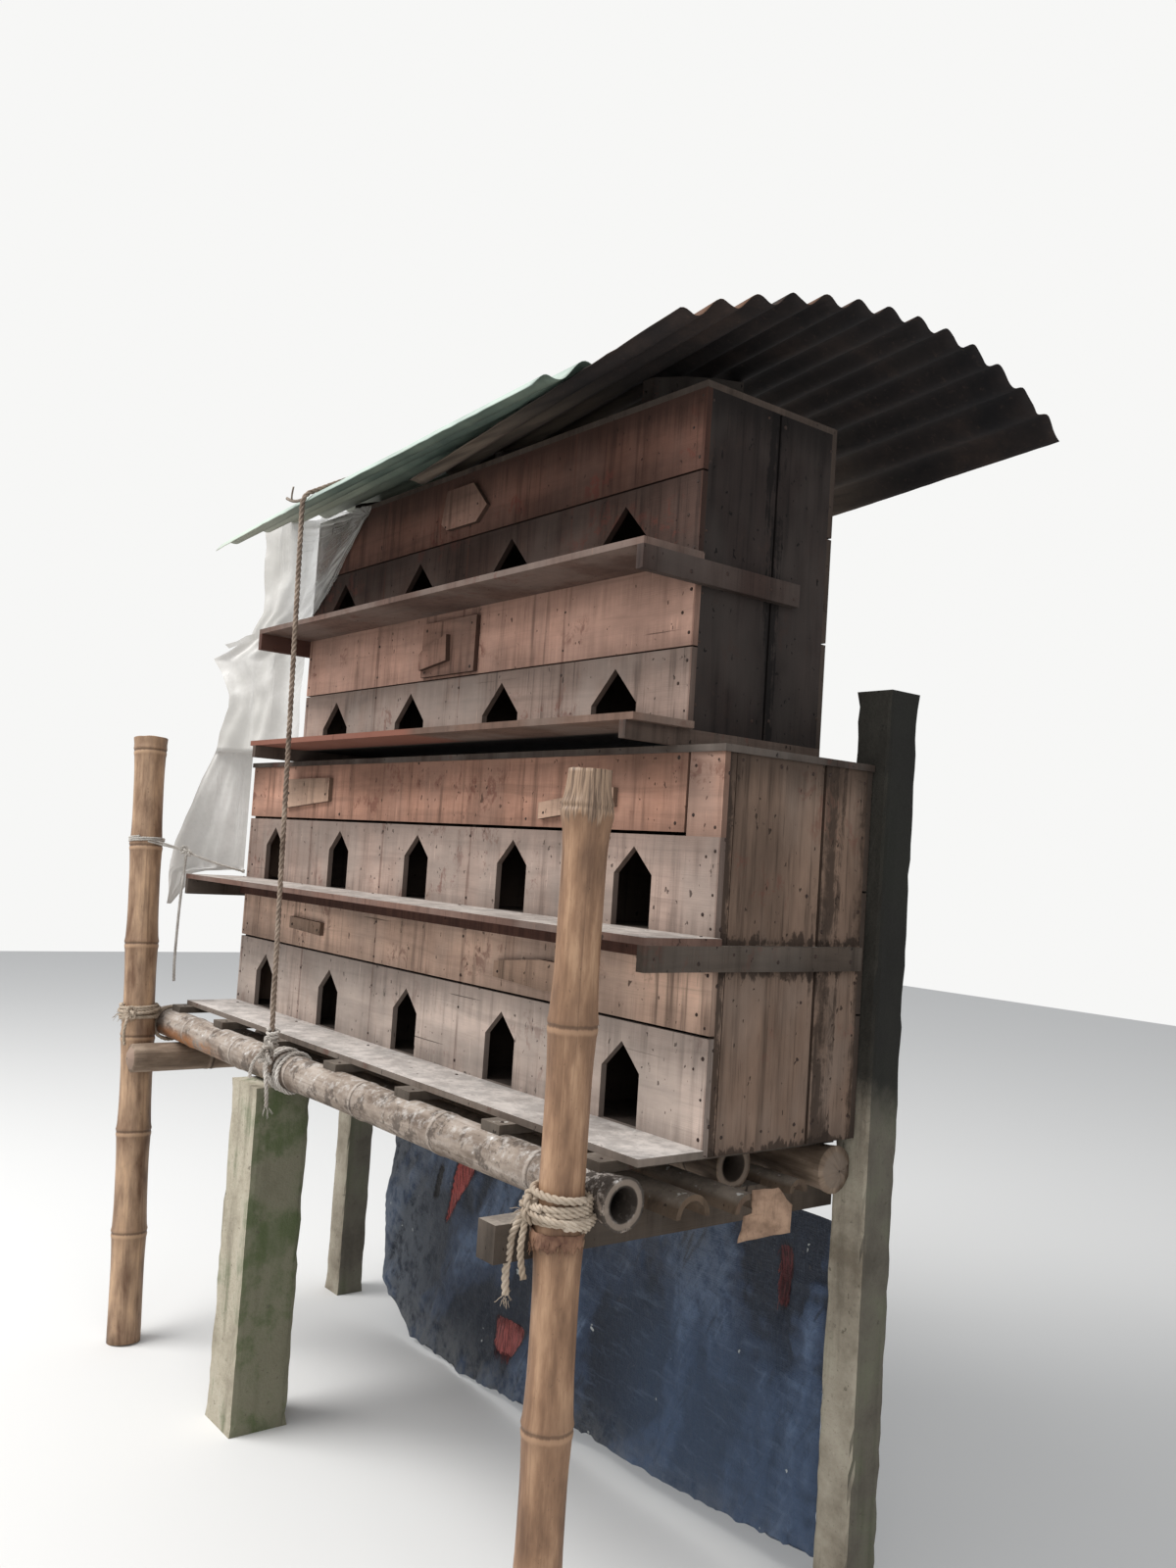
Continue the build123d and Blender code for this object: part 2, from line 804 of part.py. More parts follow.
# Rope stay: from the front pole up over the green sheet and down to the rear pole
with BuildPart() as rope_stay:
    stay_x = lower_right + rope_x
    corner_y = sheet_corner(green_x)[1]
    top_x = stay_x - rope_slant
    path = [(stay_x, cab_y + front_pole_y - pole_radius - rope_radius - contact_gap, pole_z)]
    clear = rope_radius + sheet + rope_lift
    rear_edge = green_waves * wave_pitch - green_lead
    for run in (-green_lead - rope_front_gap, -40, 60, 160, 260, 360, rear_edge + rope_rear_gap):
        y = corner_y + run
        drop = roof_run(top_x, y, green_x, 0.0, green_fall)[1]
        path.append((top_x, y, roof_crest(run, green_rise) + green_lift - drop + clear))
    path.append((stay_x, tarp_y + tarp_thickness + rope_radius + contact_gap, pole_z))
    with BuildLine() as rope_path:
        FilletPolyline(*path, radius=rope_bend)
    with BuildSketch(Plane(rope_path.line @ 0, z_dir=rope_path.line % 0)):
        Circle(rope_radius)
    sweep()
finish(rope_stay, "rope_stay")

# Lashings round the posts
with BuildPart() as lashings:
    with BuildSketch(Plane.XY.offset(beam_top - lash_drop)):
        with Locations((lower_right + right_post_x, cab_y + right_post_y)):
            Circle(right_post_radius + lash_thickness)
            Circle(right_post_radius + contact_gap, mode=Mode.SUBTRACT)
    extrude(amount=lash_height)
    for turns_up, turns_height in ((left_lash_up, left_lash_height), (tie_up, tie_height)):
        with BuildSketch(left_axis.offset(deck_z + turns_up)):
            Circle(left_post_radius + left_lash_thickness)
            Circle(left_post_radius + contact_gap, mode=Mode.SUBTRACT)
        extrude(amount=turns_height)
finish(lashings, "lashings")

# Tarpaulin behind the platform, reaching the ground
with BuildPart() as tarpaulin:
    with BuildSketch(Plane.XZ.offset(-(tarp_y + tarp_thickness))):
        with Locations((lower_right, deck_z)):
            Polygon(
                (tarp_left, -40),
                (-135, -40),
                (-135, -132),
                (tarp_right, -132),
                (tarp_right, -620),
                (-382, -674),
                (-760, -668),
                (-1011, -697),
                (-1265, -697),
                (tarp_left, -600),
                align=None,
            )
    extrude(amount=tarp_thickness)
finish(tarpaulin, "tarpaulin")

# Clear film: down the upper left corner, over the lower cabinet's top and down beside its left end
film_y = upper_y - film_thickness - contact_gap
film_plan = [(-1060, film_y), (-1338.4, film_y), (-1660, film_y - 150)]
film_outline = [
    (-1090, 1064),
    (-1330, 1068),
    (-1474, 1046),
    (-1467, 940),
    (-1464, 885),
    (-1490, 829),
    (-1578, 781),
    (-1547, 740),
    (-1521, 695),
    (-1521, 669),
    (-1550, film_step),
    (-1340, film_step),
    (-1340, 852),
    (-1318, 864),
    (-1272, 894),
    (-1211, 940),
]
low_plan = [(-1541, cab_y - 5), (-1660, cab_y - 138)]
low_outline = [
    (-1541, film_step),
    (-1600, film_step),
    (-1620, 505),
    (-1638, 424),
    (-1653, 355),
    (-1659, 309),
    (-1654, 215),
    (-1629, 260),
    (-1621, 292),
    (-1541, 303),
]

curtains = []
for plan, outline in ((film_plan, film_outline), (low_plan, low_outline)):
    behind = [(x, y + film_thickness) for x, y in reversed(plan)]
    with BuildPart() as curtain:
        with BuildSketch(Plane.XY.offset(deck_z)):
            with Locations((lower_right, 0)):
                Polygon(*plan, *behind, align=None)
        extrude(amount=upper_top)
        with BuildSketch(Plane.XZ.offset(-cab_y)) as cut:
            with Locations((lower_right, deck_z)):
                Polygon(*outline, align=None)
        extrude(cut.sketch, amount=film_reach, both=True, mode=Mode.INTERSECT)
    curtains.append(curtain.part)
with BuildPart() as film:
    add(curtains)
    with BuildSketch(Plane.XY.offset(deck_z + film_step - film_thickness / 2)):
        with Locations((lower_right, 0)):
            Polygon(
                (-1340, film_y),
                (-1541, cab_y - 4),
                (-1600, cab_y - 70),
                (-1550, film_y - 97),
                align=None,
            )
    extrude(amount=film_thickness)
finish(film, "film")
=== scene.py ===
import bpy
import math
from mathutils import Matrix, Vector, noise


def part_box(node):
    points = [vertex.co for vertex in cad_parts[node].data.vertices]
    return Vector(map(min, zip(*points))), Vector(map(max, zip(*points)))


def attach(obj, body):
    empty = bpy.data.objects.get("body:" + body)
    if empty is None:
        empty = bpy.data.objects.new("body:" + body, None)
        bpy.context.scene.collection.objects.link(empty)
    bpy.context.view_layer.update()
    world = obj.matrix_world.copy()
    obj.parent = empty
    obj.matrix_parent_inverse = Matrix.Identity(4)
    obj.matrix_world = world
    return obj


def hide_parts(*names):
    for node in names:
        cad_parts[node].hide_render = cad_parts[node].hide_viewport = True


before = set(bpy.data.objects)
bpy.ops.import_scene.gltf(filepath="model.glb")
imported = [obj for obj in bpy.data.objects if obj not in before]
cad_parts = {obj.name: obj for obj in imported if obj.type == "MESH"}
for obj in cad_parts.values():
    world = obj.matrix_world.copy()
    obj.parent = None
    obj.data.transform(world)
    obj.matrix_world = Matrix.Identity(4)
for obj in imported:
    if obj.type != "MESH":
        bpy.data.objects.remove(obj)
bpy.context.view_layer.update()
cadObjects = dict(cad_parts)
print("frame loaded:", len(cadObjects), "nodes")

# the lower cabinet's right front bottom corner, which every place below is counted from
cabinetCorner = Vector((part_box("lower_right_side")[1][0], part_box("tier_1_hole_board")[0][1], 0))
cabinetCorner.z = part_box("lower_floor")[0][2]


def spot(x, y, z):  # mm from that corner, to metres in the frame
    return cabinetCorner + Vector((x, y, z)) / 1000


def fromFrame(place):  # metres in the frame, to mm from that corner
    return (Vector(place) - cabinetCorner) * 1000


class Wire:  # one shader socket that can be used in sums
    def __init__(self, tree, socket):
        self.tree = tree
        self.socket = socket

    def sum(self, how, first, second=0.0):
        node = self.tree.nodes.new("ShaderNodeMath")
        node.operation = how
        for place, value in enumerate((first, second)):
            if isinstance(value, Wire):
                self.tree.links.new(value.socket, node.inputs[place])
            else:
                node.inputs[place].default_value = value
        return Wire(self.tree, node.outputs[0])

    def __add__(self, other):
        return self.sum("ADD", self, other)

    def __sub__(self, other):
        return self.sum("SUBTRACT", self, other)

    def __mul__(self, other):
        return self.sum("MULTIPLY", self, other)

    def __rsub__(self, other):
        return self.sum("SUBTRACT", other, self)

    def size(self):
        return self.sum("ABSOLUTE", self)

    __radd__ = __add__
    __rmul__ = __mul__


class Finish:  # one node material
    def __init__(self, name):
        self.material = bpy.data.materials.new(name)
        self.material.use_nodes = True
        self.tree = self.material.node_tree
        self.tree.nodes.clear()
        output = self.tree.nodes.new("ShaderNodeOutputMaterial")
        self.shader = self.tree.nodes.new("ShaderNodeBsdfPrincipled")
        self.tree.links.new(self.shader.outputs[0], output.inputs[0])
        self.place = self.node("TexCoord", {}, {}, "Object")
        self.x, self.y, self.z = self.parts(self.place)
        self.paint = None

    def node(self, kind, settings, values, want=0):
        node = self.tree.nodes.new("ShaderNode" + kind)
        for key, value in settings.items():
            if key == "stops":
                ramp = node.color_ramp
                while len(ramp.elements) < len(value):
                    ramp.elements.new(0.5)
                for stop, (at, colour) in zip(ramp.elements, value):
                    stop.position = at
                    stop.color = (*colour, 1.0)
            else:
                setattr(node, key, value)
        for key, value in values.items():
            self.feed(node.inputs[key], value)
        return Wire(self.tree, node.outputs[want])

    def feed(self, socket, value):
        if isinstance(value, Wire):
            self.tree.links.new(value.socket, socket)
        elif hasattr(value, "__len__") and len(value) == 3 and socket.type == "RGBA":
            socket.default_value = (*value, 1.0)
        else:
            socket.default_value = value

    def parts(self, vector):  # x, y and z of a vector
        split = self.tree.nodes.new("ShaderNodeSeparateXYZ")
        self.tree.links.new(vector.socket, split.inputs[0])
        return [Wire(self.tree, split.outputs[i]) for i in range(3)]

    def facing(self):
        return self.parts(self.node("NewGeometry", {}, {}, "Normal"))

    def vector(self, x, y, z):
        return self.node("CombineXYZ", {}, {0: x, 1: y, 2: z})

    def noise(self, vector, scale=1.0, detail=3.0, rough=0.55, twist=0.0):
        values = {"Vector": vector, "Scale": scale, "Detail": detail, "Roughness": rough, "Distortion": twist}
        return self.node("TexNoise", {}, values)

    def fade(self, value, low, high, start=0.0, end=1.0):  # smooth step
        values = {0: value, 1: low, 2: high, 3: start, 4: end}
        return self.node("MapRange", {"interpolation_type": "SMOOTHSTEP"}, values)

    def ramp(self, value, stops):
        return self.node("ValToRGB", {"stops": stops}, {0: value})

    def mix(self, amount, first, second):
        return self.node("Mix", {"data_type": "RGBA"}, {0: amount, 6: first, 7: second}, 2)

    def coat(self, amount, colour):  # over the paint that is there
        self.paint = self.mix(amount, self.paint, colour)

    def bump(self, height, distance, strength=1.0):
        return self.node("Bump", {}, {"Height": height, "Distance": distance, "Strength": strength})

    def done(self, colour, rough, normal=None, **others):
        self.feed(self.shader.inputs["Base Color"], colour)
        self.feed(self.shader.inputs["Roughness"], rough)
        if normal is not None:
            self.feed(self.shader.inputs["Normal"], normal)
        for key, value in others.items():
            self.feed(self.shader.inputs[key.replace("_", " ")], value)
        return self.material


# camera, light and floor

cameraPlace = {"at": (1201.26, -1175.33, 385.71), "turn": 0.9045, "rise": 0.0578, "roll": -0.0659,
               "lens": 19.15, "sensor": 24}
turn, rise, roll = cameraPlace["turn"], cameraPlace["rise"], cameraPlace["roll"]
ahead = Vector((-math.sin(turn) * math.cos(rise), math.cos(turn) * math.cos(rise), math.sin(rise)))
level = Vector((math.cos(turn), math.sin(turn), 0))
downward = ahead.cross(level)
right = math.cos(roll) * level + math.sin(roll) * downward
down = -math.sin(roll) * level + math.cos(roll) * downward
cameraData = bpy.data.cameras.new("camera")
cameraData.sensor_fit = "VERTICAL"
cameraData.sensor_height = cameraPlace["sensor"]
cameraData.lens = cameraPlace["lens"]
cameraData.clip_start = 0.05
camera = bpy.data.objects.new("camera", cameraData)
turned = Matrix((right, -down, -ahead)).transposed().to_4x4()
camera.matrix_world = Matrix.Translation(spot(*cameraPlace["at"])) @ turned
bpy.context.scene.collection.objects.link(camera)
bpy.context.scene.camera = camera

lamps = {
    "key": {"at": (-1.5, -3.0, 5.0), "aim": (0, 0, 0.9), "size": 3.0, "power": 330},
    "fill": {"at": (3.8, -2.4, 2.6), "aim": (0, 0, 0.9), "size": 3.0, "power": 45},
}
for lampName, lamp in lamps.items():
    data = bpy.data.lights.new(lampName, "AREA")
    data.size = lamp["size"]
    data.energy = lamp["power"]
    piece = bpy.data.objects.new(lampName, data)
    piece.location = lamp["at"]
    piece.rotation_euler = (Vector(lamp["aim"]) - Vector(lamp["at"])).to_track_quat("-Z", "Y").to_euler()
    bpy.context.scene.collection.objects.link(piece)

# soft light from all sides, and a pale card that only the camera sees
skyLook = {"light": (0.93, 0.96, 1.0, 1), "strength": 0.62, "card": (0.93, 0.93, 0.92, 1)}
world = bpy.data.worlds.new("sky")
world.use_nodes = True
bpy.context.scene.world = world
tree = world.node_tree
path = tree.nodes.new("ShaderNodeLightPath")
blend = tree.nodes.new("ShaderNodeMixShader")
sky = tree.nodes["Background"]
sky.inputs[0].default_value = skyLook["light"]
sky.inputs[1].default_value = skyLook["strength"]
card = tree.nodes.new("ShaderNodeBackground")
card.inputs[0].default_value = skyLook["card"]
card.inputs[1].default_value = 1.0
seen = tree.nodes.new("ShaderNodeMath")
seen.operation = "ADD"
seen.use_clamp = True
tree.links.new(path.outputs["Is Camera Ray"], seen.inputs[0])
tree.links.new(path.outputs["Is Transmission Ray"], seen.inputs[1])
tree.links.new(seen.outputs[0], blend.inputs[0])
tree.links.new(sky.outputs[0], blend.inputs[1])
tree.links.new(card.outputs[0], blend.inputs[2])
tree.links.new(blend.outputs[0], tree.nodes["World Output"].inputs[0])

reach = 9  # metres of floor to each side
floorMesh = bpy.data.meshes.new("floor")
floorMesh.from_pydata([(-reach, -reach, 0), (reach, -reach, 0), (reach, reach, 0), (-reach, reach, 0)], [],
                      [(0, 1, 2, 3)])
floor = bpy.data.objects.new("floor", floorMesh)
bpy.context.scene.collection.objects.link(floor)
floorMesh.materials.append(Finish("floorPaint").done((0.72, 0.71, 0.69), 0.9))
bpy.context.scene.view_settings.view_transform = "Standard"
print("camera and light set")

# wood

frontLook = {
    "grain": "X",
    "colour": (0.30, 0.19, 0.145),
    "grime": 0.75,  # long dirty streaks down the face
    "drips": 0.55,  # thin pale runs
    "specks": 0.85,
    "blotches": 0.55,
    "blotchColour": (0.13, 0.040, 0.028),
    "grey": 0.25,  # dust blown on
    # topDark: how much painted shade darkens a board towards its top
    "topDark": 0.45,
    "footDark": 0.55,
    "topDust": None,  # colour of what lies on faces that look up
    "edges": (1, 0.75),  # thin way of the board, and how much painted shade darkens its edge faces
    "mould": (),  # dark bands: way, place in mm, half width in mm
    "studs": None,  # x in mm of one row of nails, whose rust runs down
    "partly": None,  # x in mm, and the colour left of it
    "shift": 0.0,
}


def vary(look, **changes):
    made = dict(look)
    made.update(changes)
    return made


def scaled(colour, by):
    return tuple(min(1.0, part * by) for part in colour)


studSpan = 0.305  # metres from one row of nails to the next


def boardWood(name, look, low, high):
    f = Finish(name)
    s = look["shift"]
    ways = {"X": (f.x, f.z, f.y), "Y": (f.y, f.z, f.x), "Z": (f.z, f.y, f.x)}
    longways, across, through = ways[look["grain"]]
    facing = f.facing()
    colour = look["colour"]
    # a dark colour for streaks and stains, also used for the painted shade at a board's top
    stainAndShade = scaled(colour, 0.22)
    cloud = f.noise(f.vector(longways * 2.4 + s, across * 6.0, through * 6.0), 1.0, 5.0, 0.62)
    warp = f.noise(f.vector(longways * 2.0 + s, across * 7.0, through * 7.0), 1.0, 2.0)
    figure = f.noise(f.vector(longways * 1.5 + s, across * 52.0 + warp * 3.0, through * 52.0), 1.0, 4.0, 0.6)
    fibre = f.noise(f.vector(longways * 12.0 + s, across * 620.0, through * 620.0), 1.0, 3.0, 0.6)
    f.paint = f.ramp(cloud, [(0.34, scaled(colour, 0.62)), (0.5, colour), (0.66, scaled(colour, 1.38))])
    f.coat(f.fade(figure, 0.48, 0.70) * 0.42, scaled(colour, 0.50))
    f.coat(f.fade(fibre, 0.50, 0.80) * 0.25, scaled(colour, 0.55))
    where = f.noise(f.vector(f.x * 6.0 + s, f.y * 6.0, f.z * 3.4), 1.0, 3.0, 0.6)
    f.coat(f.fade(where, 0.60, 0.38) * look["grey"], (0.30, 0.27, 0.24))
    streak = f.noise(f.vector(f.x * 64.0 + s, f.y * 64.0, f.z * 2.6), 1.0, 4.0, 0.66)
    f.coat(f.fade(streak, 0.48, 0.72) * f.fade(where, 0.36, 0.60) * look["grime"], stainAndShade)
    thin = f.noise(f.vector(f.x * 210.0 - s, f.y * 210.0, f.z * 9.0), 1.0, 3.0, 0.6)
    drips = f.fade(thin, 0.64, 0.74) * f.fade(where, 0.62, 0.44) * look["drips"]
    f.coat(drips, scaled(colour, 1.9))
    f.coat(f.fade(thin, 0.38, 0.28) * f.fade(where, 0.40, 0.56) * 0.55, stainAndShade)
    blot = f.noise(f.vector(f.x * 34.0 + s, f.y * 34.0, f.z * 24.0 + 9.0), 1.0, 4.0, 0.75, 0.5)
    patch = f.noise(f.vector(f.x * 5.0 - s, f.y * 5.0, f.z * 9.0), 1.0, 2.0)
    blotches = f.fade(blot, 0.52, 0.62) * f.fade(patch, 0.53, 0.64) * look["blotches"]
    f.coat(blotches, look["blotchColour"])
    speck = f.noise(f.vector(f.x * 105.0 + s, f.y * 105.0, f.z * 70.0), 1.0, 2.0, 0.5)
    f.coat(f.fade(speck, 0.69, 0.73) * look["specks"], scaled(colour, 0.16))
    ragged = streak * 0.07
    # painted shade: the board darkens towards its top, under what lies above it; it also darkens towards its
    # bottom edge
    top = f.fade(f.z + ragged, high[2] - 0.035, high[2] + 0.03) * look["topDark"]
    f.coat(top, stainAndShade)
    foot = f.fade(f.z - ragged, low[2] + 0.015, low[2] - 0.045) * look["footDark"]
    f.coat(foot, stainAndShade)
    for way, at, half in look["mould"]:
        gap = (f.y if way == "y" else f.z) - (spot(0, at, 0).y if way == "y" else spot(0, 0, at).z)
        rough = (streak - 0.5) * (0.10 if way == "y" else 0.05) + (blot - 0.5) * 0.06
        f.coat(f.fade(gap.size() + rough, half / 1000, half / 5000) * 0.8, scaled(colour, 0.14))
    if look["studs"] is not None:
        fromStud = f.x - (spot(look["studs"], 0, 0).x - 30 * studSpan)
        row = f.node("Math", {"operation": "PINGPONG"}, {0: fromStud, 1: studSpan / 2})
        rust = f.fade(row + (streak - 0.5) * 0.008, 0.005, 0.001) * f.fade(thin, 0.35, 0.55)
        f.coat(rust * 0.5, (0.075, 0.030, 0.020))
    if look["partly"]:
        fromX, other = look["partly"]
        f.coat(f.fade(f.x, spot(fromX, 0, 0).x, spot(fromX - 60, 0, 0).x) * 0.8, other)
    thinWay, edgeDark = look["edges"]
    # painted shade on the board's edge faces, in its holes, gaps and ends
    f.coat(f.fade(facing[thinWay].size(), 0.7, 0.3) * edgeDark, scaled(colour, 0.25))
    if look["topDust"]:
        upward = f.fade(facing[2], 0.4, 0.8)
        mess = f.noise(f.place, 26.0, 6.0, 0.72)
        splash = f.noise(f.place, 62.0, 3.0, 0.6)
        dusty = f.mix(f.fade(mess, 0.38, 0.60), look["topDust"], scaled(look["topDust"], 0.66))
        dusty = f.mix(f.fade(splash, 0.64, 0.70) * 0.8, dusty, (0.62, 0.60, 0.56))
        dusty = f.mix(f.fade(splash, 0.35, 0.29) * 0.7, dusty, (0.09, 0.07, 0.055))
        f.coat(upward * f.fade(where, 0.75, 0.45, 0.65, 1.0), dusty)
    crack = f.noise(f.vector(longways * 1.8 + s, across * 95.0, through * 95.0), 1.0, 2.0)
    split = f.fade(crack, 0.755, 0.785)
    f.coat(split * 0.75, scaled(colour, 0.18))
    height = fibre * 0.35 + figure * 0.4 + streak * 0.3 - split * 1.6 - f.fade(speck, 0.69, 0.73)
    return f.done(f.paint, 0.88, f.bump(height, 0.0014, 0.7), Specular_IOR_Level=0.2)


seamTwo, rearEdge = 204.0, 307.0  # the gap between the planks of the lower side, and its back edge
sideMould = (("y", 8, 16), ("y", seamTwo + 16, 26), ("y", rearEdge, 30), ("z", 244, 12), ("z", 283, 10),
             ("z", 0, 8))
sideLook = vary(frontLook, grain="Z", colour=(0.175, 0.115, 0.083), grime=0.8, blotches=0.35, drips=0.4,
                grey=0.15, topDark=0.75, footDark=0.35, edges=(0, 0.75), mould=sideMould)
# upper sides: dark stains, with painted shade of the roof over them
darkSide = vary(sideLook, colour=(0.023, 0.016, 0.014), grime=0.7, drips=0.2, grey=0.05,
                mould=(("y", 165, 14),), blotchColour=(0.040, 0.024, 0.019))
backLook = vary(frontLook, colour=(0.12, 0.085, 0.066), grime=0.8, blotches=0.3, grey=0.2)
insideLook = vary(frontLook, colour=(0.050, 0.036, 0.028), drips=0.0, blotches=0.0, grey=0.0, topDark=0.0)
battenLook = vary(frontLook, grain="Y", colour=(0.082, 0.061, 0.047), blotches=0.3, grime=0.6, drips=0.3,
                  grey=0.12, topDark=0.0, footDark=0.3, edges=(0, 0.0), topDust=(0.16, 0.13, 0.105))
landingLook = vary(frontLook, colour=(0.21, 0.135, 0.103), topDust=(0.46, 0.41, 0.37), topDark=0.0,
                   footDark=0.35, grime=0.35, edges=(2, 0.0))
redLanding = vary(landingLook, colour=(0.185, 0.112, 0.082), topDust=(0.32, 0.245, 0.205),
                  partly=(-640, (0.195, 0.072, 0.048)))

woodOf = {  # node: its look
    "tier_1_hole_board": vary(frontLook, colour=(0.51, 0.405, 0.345), grey=0.4, blotches=0.3, grime=0.5,
                              studs=-305, shift=1.3),
    "tier_1_upper_board": vary(frontLook, colour=(0.60, 0.405, 0.305), studs=-305, shift=5.1),
    "tier_2_hole_board": vary(frontLook, colour=(0.39, 0.285, 0.235), grey=0.35, grime=0.55, studs=-305,
                              shift=9.7),
    "tier_2_flap": vary(frontLook, colour=(0.43, 0.232, 0.162), grey=0.1, shift=14.2),
    "tier_2_end_piece": vary(frontLook, colour=(0.44, 0.255, 0.185), shift=17.9),
    "tier_3_hole_board": vary(frontLook, colour=(0.270, 0.195, 0.160), grey=0.35, studs=-398, shift=21.4),
    "tier_3_upper_board": vary(frontLook, colour=(0.48, 0.285, 0.215), blotches=0.95, grey=0.12, studs=-398,
                               shift=26.8),
    # tier 4 boards: colour darkened with painted shade of the roof over them
    "tier_4_hole_board": vary(frontLook, colour=(0.075, 0.043, 0.033), grey=0.10, studs=-398, shift=31.1),
    "tier_4_upper_board": vary(frontLook, colour=(0.130, 0.062, 0.044), grey=0.05, topDark=0.8, blotches=0.8,
                               studs=-398, shift=37.3),
    "lower_right_side": vary(sideLook, shift=41.0),
    "lower_left_side": vary(sideLook, shift=44.0),
    "upper_right_side": vary(darkSide, shift=48.0),
    "upper_left_side": vary(darkSide, colour=(0.11, 0.075, 0.06), shift=51.0),
    "lower_back": vary(backLook, shift=61.0),
    "upper_back": vary(backLook, shift=64.0),
    "lower_floor": vary(insideLook, edges=(2, 0.0), shift=3.0),
    "lower_shelf": vary(insideLook, edges=(2, 0.0), shift=5.0),
    "upper_floor": vary(insideLook, edges=(2, 0.0), shift=7.0),
    "upper_shelf": vary(insideLook, edges=(2, 0.0), shift=9.0),
    "lower_partitions": vary(insideLook, grain="Y", edges=(0, 0.0), shift=11.0),
    "upper_partitions": vary(insideLook, grain="Y", edges=(0, 0.0), shift=13.0),
    "lower_top_board": vary(landingLook, colour=(0.075, 0.054, 0.043), shift=15.0),
    "upper_top_board": vary(backLook, edges=(2, 0.0), shift=17.0),
    "tier_1_landing": vary(landingLook, colour=(0.20, 0.155, 0.125), topDust=(0.58, 0.53, 0.49), shift=19.0),
    "tier_2_landing": vary(landingLook, colour=(0.16, 0.092, 0.070), shift=21.0),
    "tier_3_landing": vary(redLanding, shift=23.0),
    "tier_4_landing": vary(landingLook, colour=(0.15, 0.093, 0.073), topDust=(0.30, 0.25, 0.215), shift=25.0),
    "tier_2_ledger": vary(frontLook, colour=(0.15, 0.068, 0.048), grey=0.0, topDark=0.5, shift=27.0),
    "lower_battens": vary(battenLook, shift=29.0),
    "upper_battens": vary(battenLook, colour=(0.044, 0.027, 0.022), topDust=(0.10, 0.075, 0.06),
                          partly=(-700, (0.080, 0.036, 0.026)), shift=31.0),
    "bearer_battens": vary(battenLook, colour=(0.10, 0.070, 0.055), shift=33.0),
    "lower_patches": vary(frontLook, colour=(0.43, 0.285, 0.205), grey=0.1, edges=(1, 0.85), shift=35.0),
    "upper_patches": vary(frontLook, colour=(0.22, 0.125, 0.092), grey=0.1, edges=(1, 0.9), shift=37.0),
    "deck_laths": vary(battenLook, colour=(0.10, 0.078, 0.060), topDust=(0.20, 0.165, 0.135), shift=39.0),
    "right_beam": vary(battenLook, colour=(0.085, 0.063, 0.047), topDust=(0.30, 0.26, 0.22), shift=41.0),
    "roof_bearers": vary(battenLook, colour=(0.030, 0.022, 0.018), topDust=None, shift=43.0),
    "split_culms": vary(battenLook, grain="X", colour=(0.120, 0.082, 0.055), topDust=(0.25, 0.205, 0.165),
                        shift=45.0),
}
for nodeName, look in woodOf.items():
    low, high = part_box(nodeName)
    cadObjects[nodeName].data.materials.clear()
    cadObjects[nodeName].data.materials.append(boardWood(nodeName + "Wood", look, low, high))
print("wood set")

# nails, by geometry nodes: one head at each place, along the way it was driven

nails = {"width": 0.0052, "rim": 0.62, "proud": 0.0011, "sides": 10, "spread": 0.25, "seed": 4}
nailSpots = []  # place in mm, and the way the head looks


def nailDown(x, y, levels, facing=(0, -1, 0)):
    for z in levels:
        nailSpots.append(((x, y, z), facing))


partitions = (-305, -610, -915, -1220)
for x in (-9, -1526):
    nailDown(x, 0, (22, 74, 128, 168, 238, 300, 345, 404))
for x in (-26, -1508):
    nailDown(x, 0, (112, 184, 318, 396))
for x in partitions:
    nailDown(x, 0, (26, 116, 170, 236, 302, 408))
for x, levels in ((-12, (436, 528)), (-56, (452, 520)), (-92, (440, 532)), (-1520, (446, 530)),
                  (-800, (536,)), (-1100, (438,)), (-450, (440,))):
    nailDown(x, 0, levels)
upperParts = (-398, -703, -1008)
for x in (-102, -1314) + upperParts:
    nailDown(x, 13, (600, 672, 712, 774, 834, 930))
for x in (-102, -1314, -703):
    nailDown(x, 13, (966, 1056))
nailDown(-118, 13, (640, 742, 884, 1012))
for x, z in ((-488, 190), (-262, 205), (-262, 178), (-1258, 203), (-1142, 200), (-1325, 480), (-1152, 478),
             (-392, 450), (-236, 474)):
    nailDown(x, -9, (z,))
for x, z in ((-812, 706), (-658, 706), (-812, 784), (-660, 784), (-774, 974), (-670, 1000)):
    nailDown(x, 4, (z,))
side = (1, 0, 0)
for y, levels in ((10, (40, 140, 225, 300, 420, 510)), (34, (24, 262, 530)), (110, (26, 528)),
                  (176, (30, 120, 200, 350, 524)), (212, (28, 300, 526)),
                  (290, (34, 150, 226, 330, 440, 520))):
    nailDown(0, y, levels, side)
for y, levels in ((26, (610, 700, 770, 860, 960, 1050)), (140, (600, 1055)), (176, (604, 1050)),
                  (280, (620, 760, 900, 1040))):
    nailDown(-93, y, levels, side)
for y, z in ((-118, 262), (-40, 256), (24, 268), (110, 258), (186, 266), (262, 258)):
    nailDown(14, y, (z,), side)
for y, z in ((-82, 797), (-10, 792), (60, 802), (150, 796), (200, 790)):
    nailDown(-79, y, (z,), side)
for x in partitions + (-14, -1521):
    nailSpots.append(((x, -12, 289), (0, 0, 1)))
    nailSpots.append(((x + 40, -20, 10), (0, 0, 1)))
for x in (-1520, -1285, -1035, -785, -535, -285, -60):
    nailSpots.append(((x + 8, -128, 0), (0, 0, 1)))


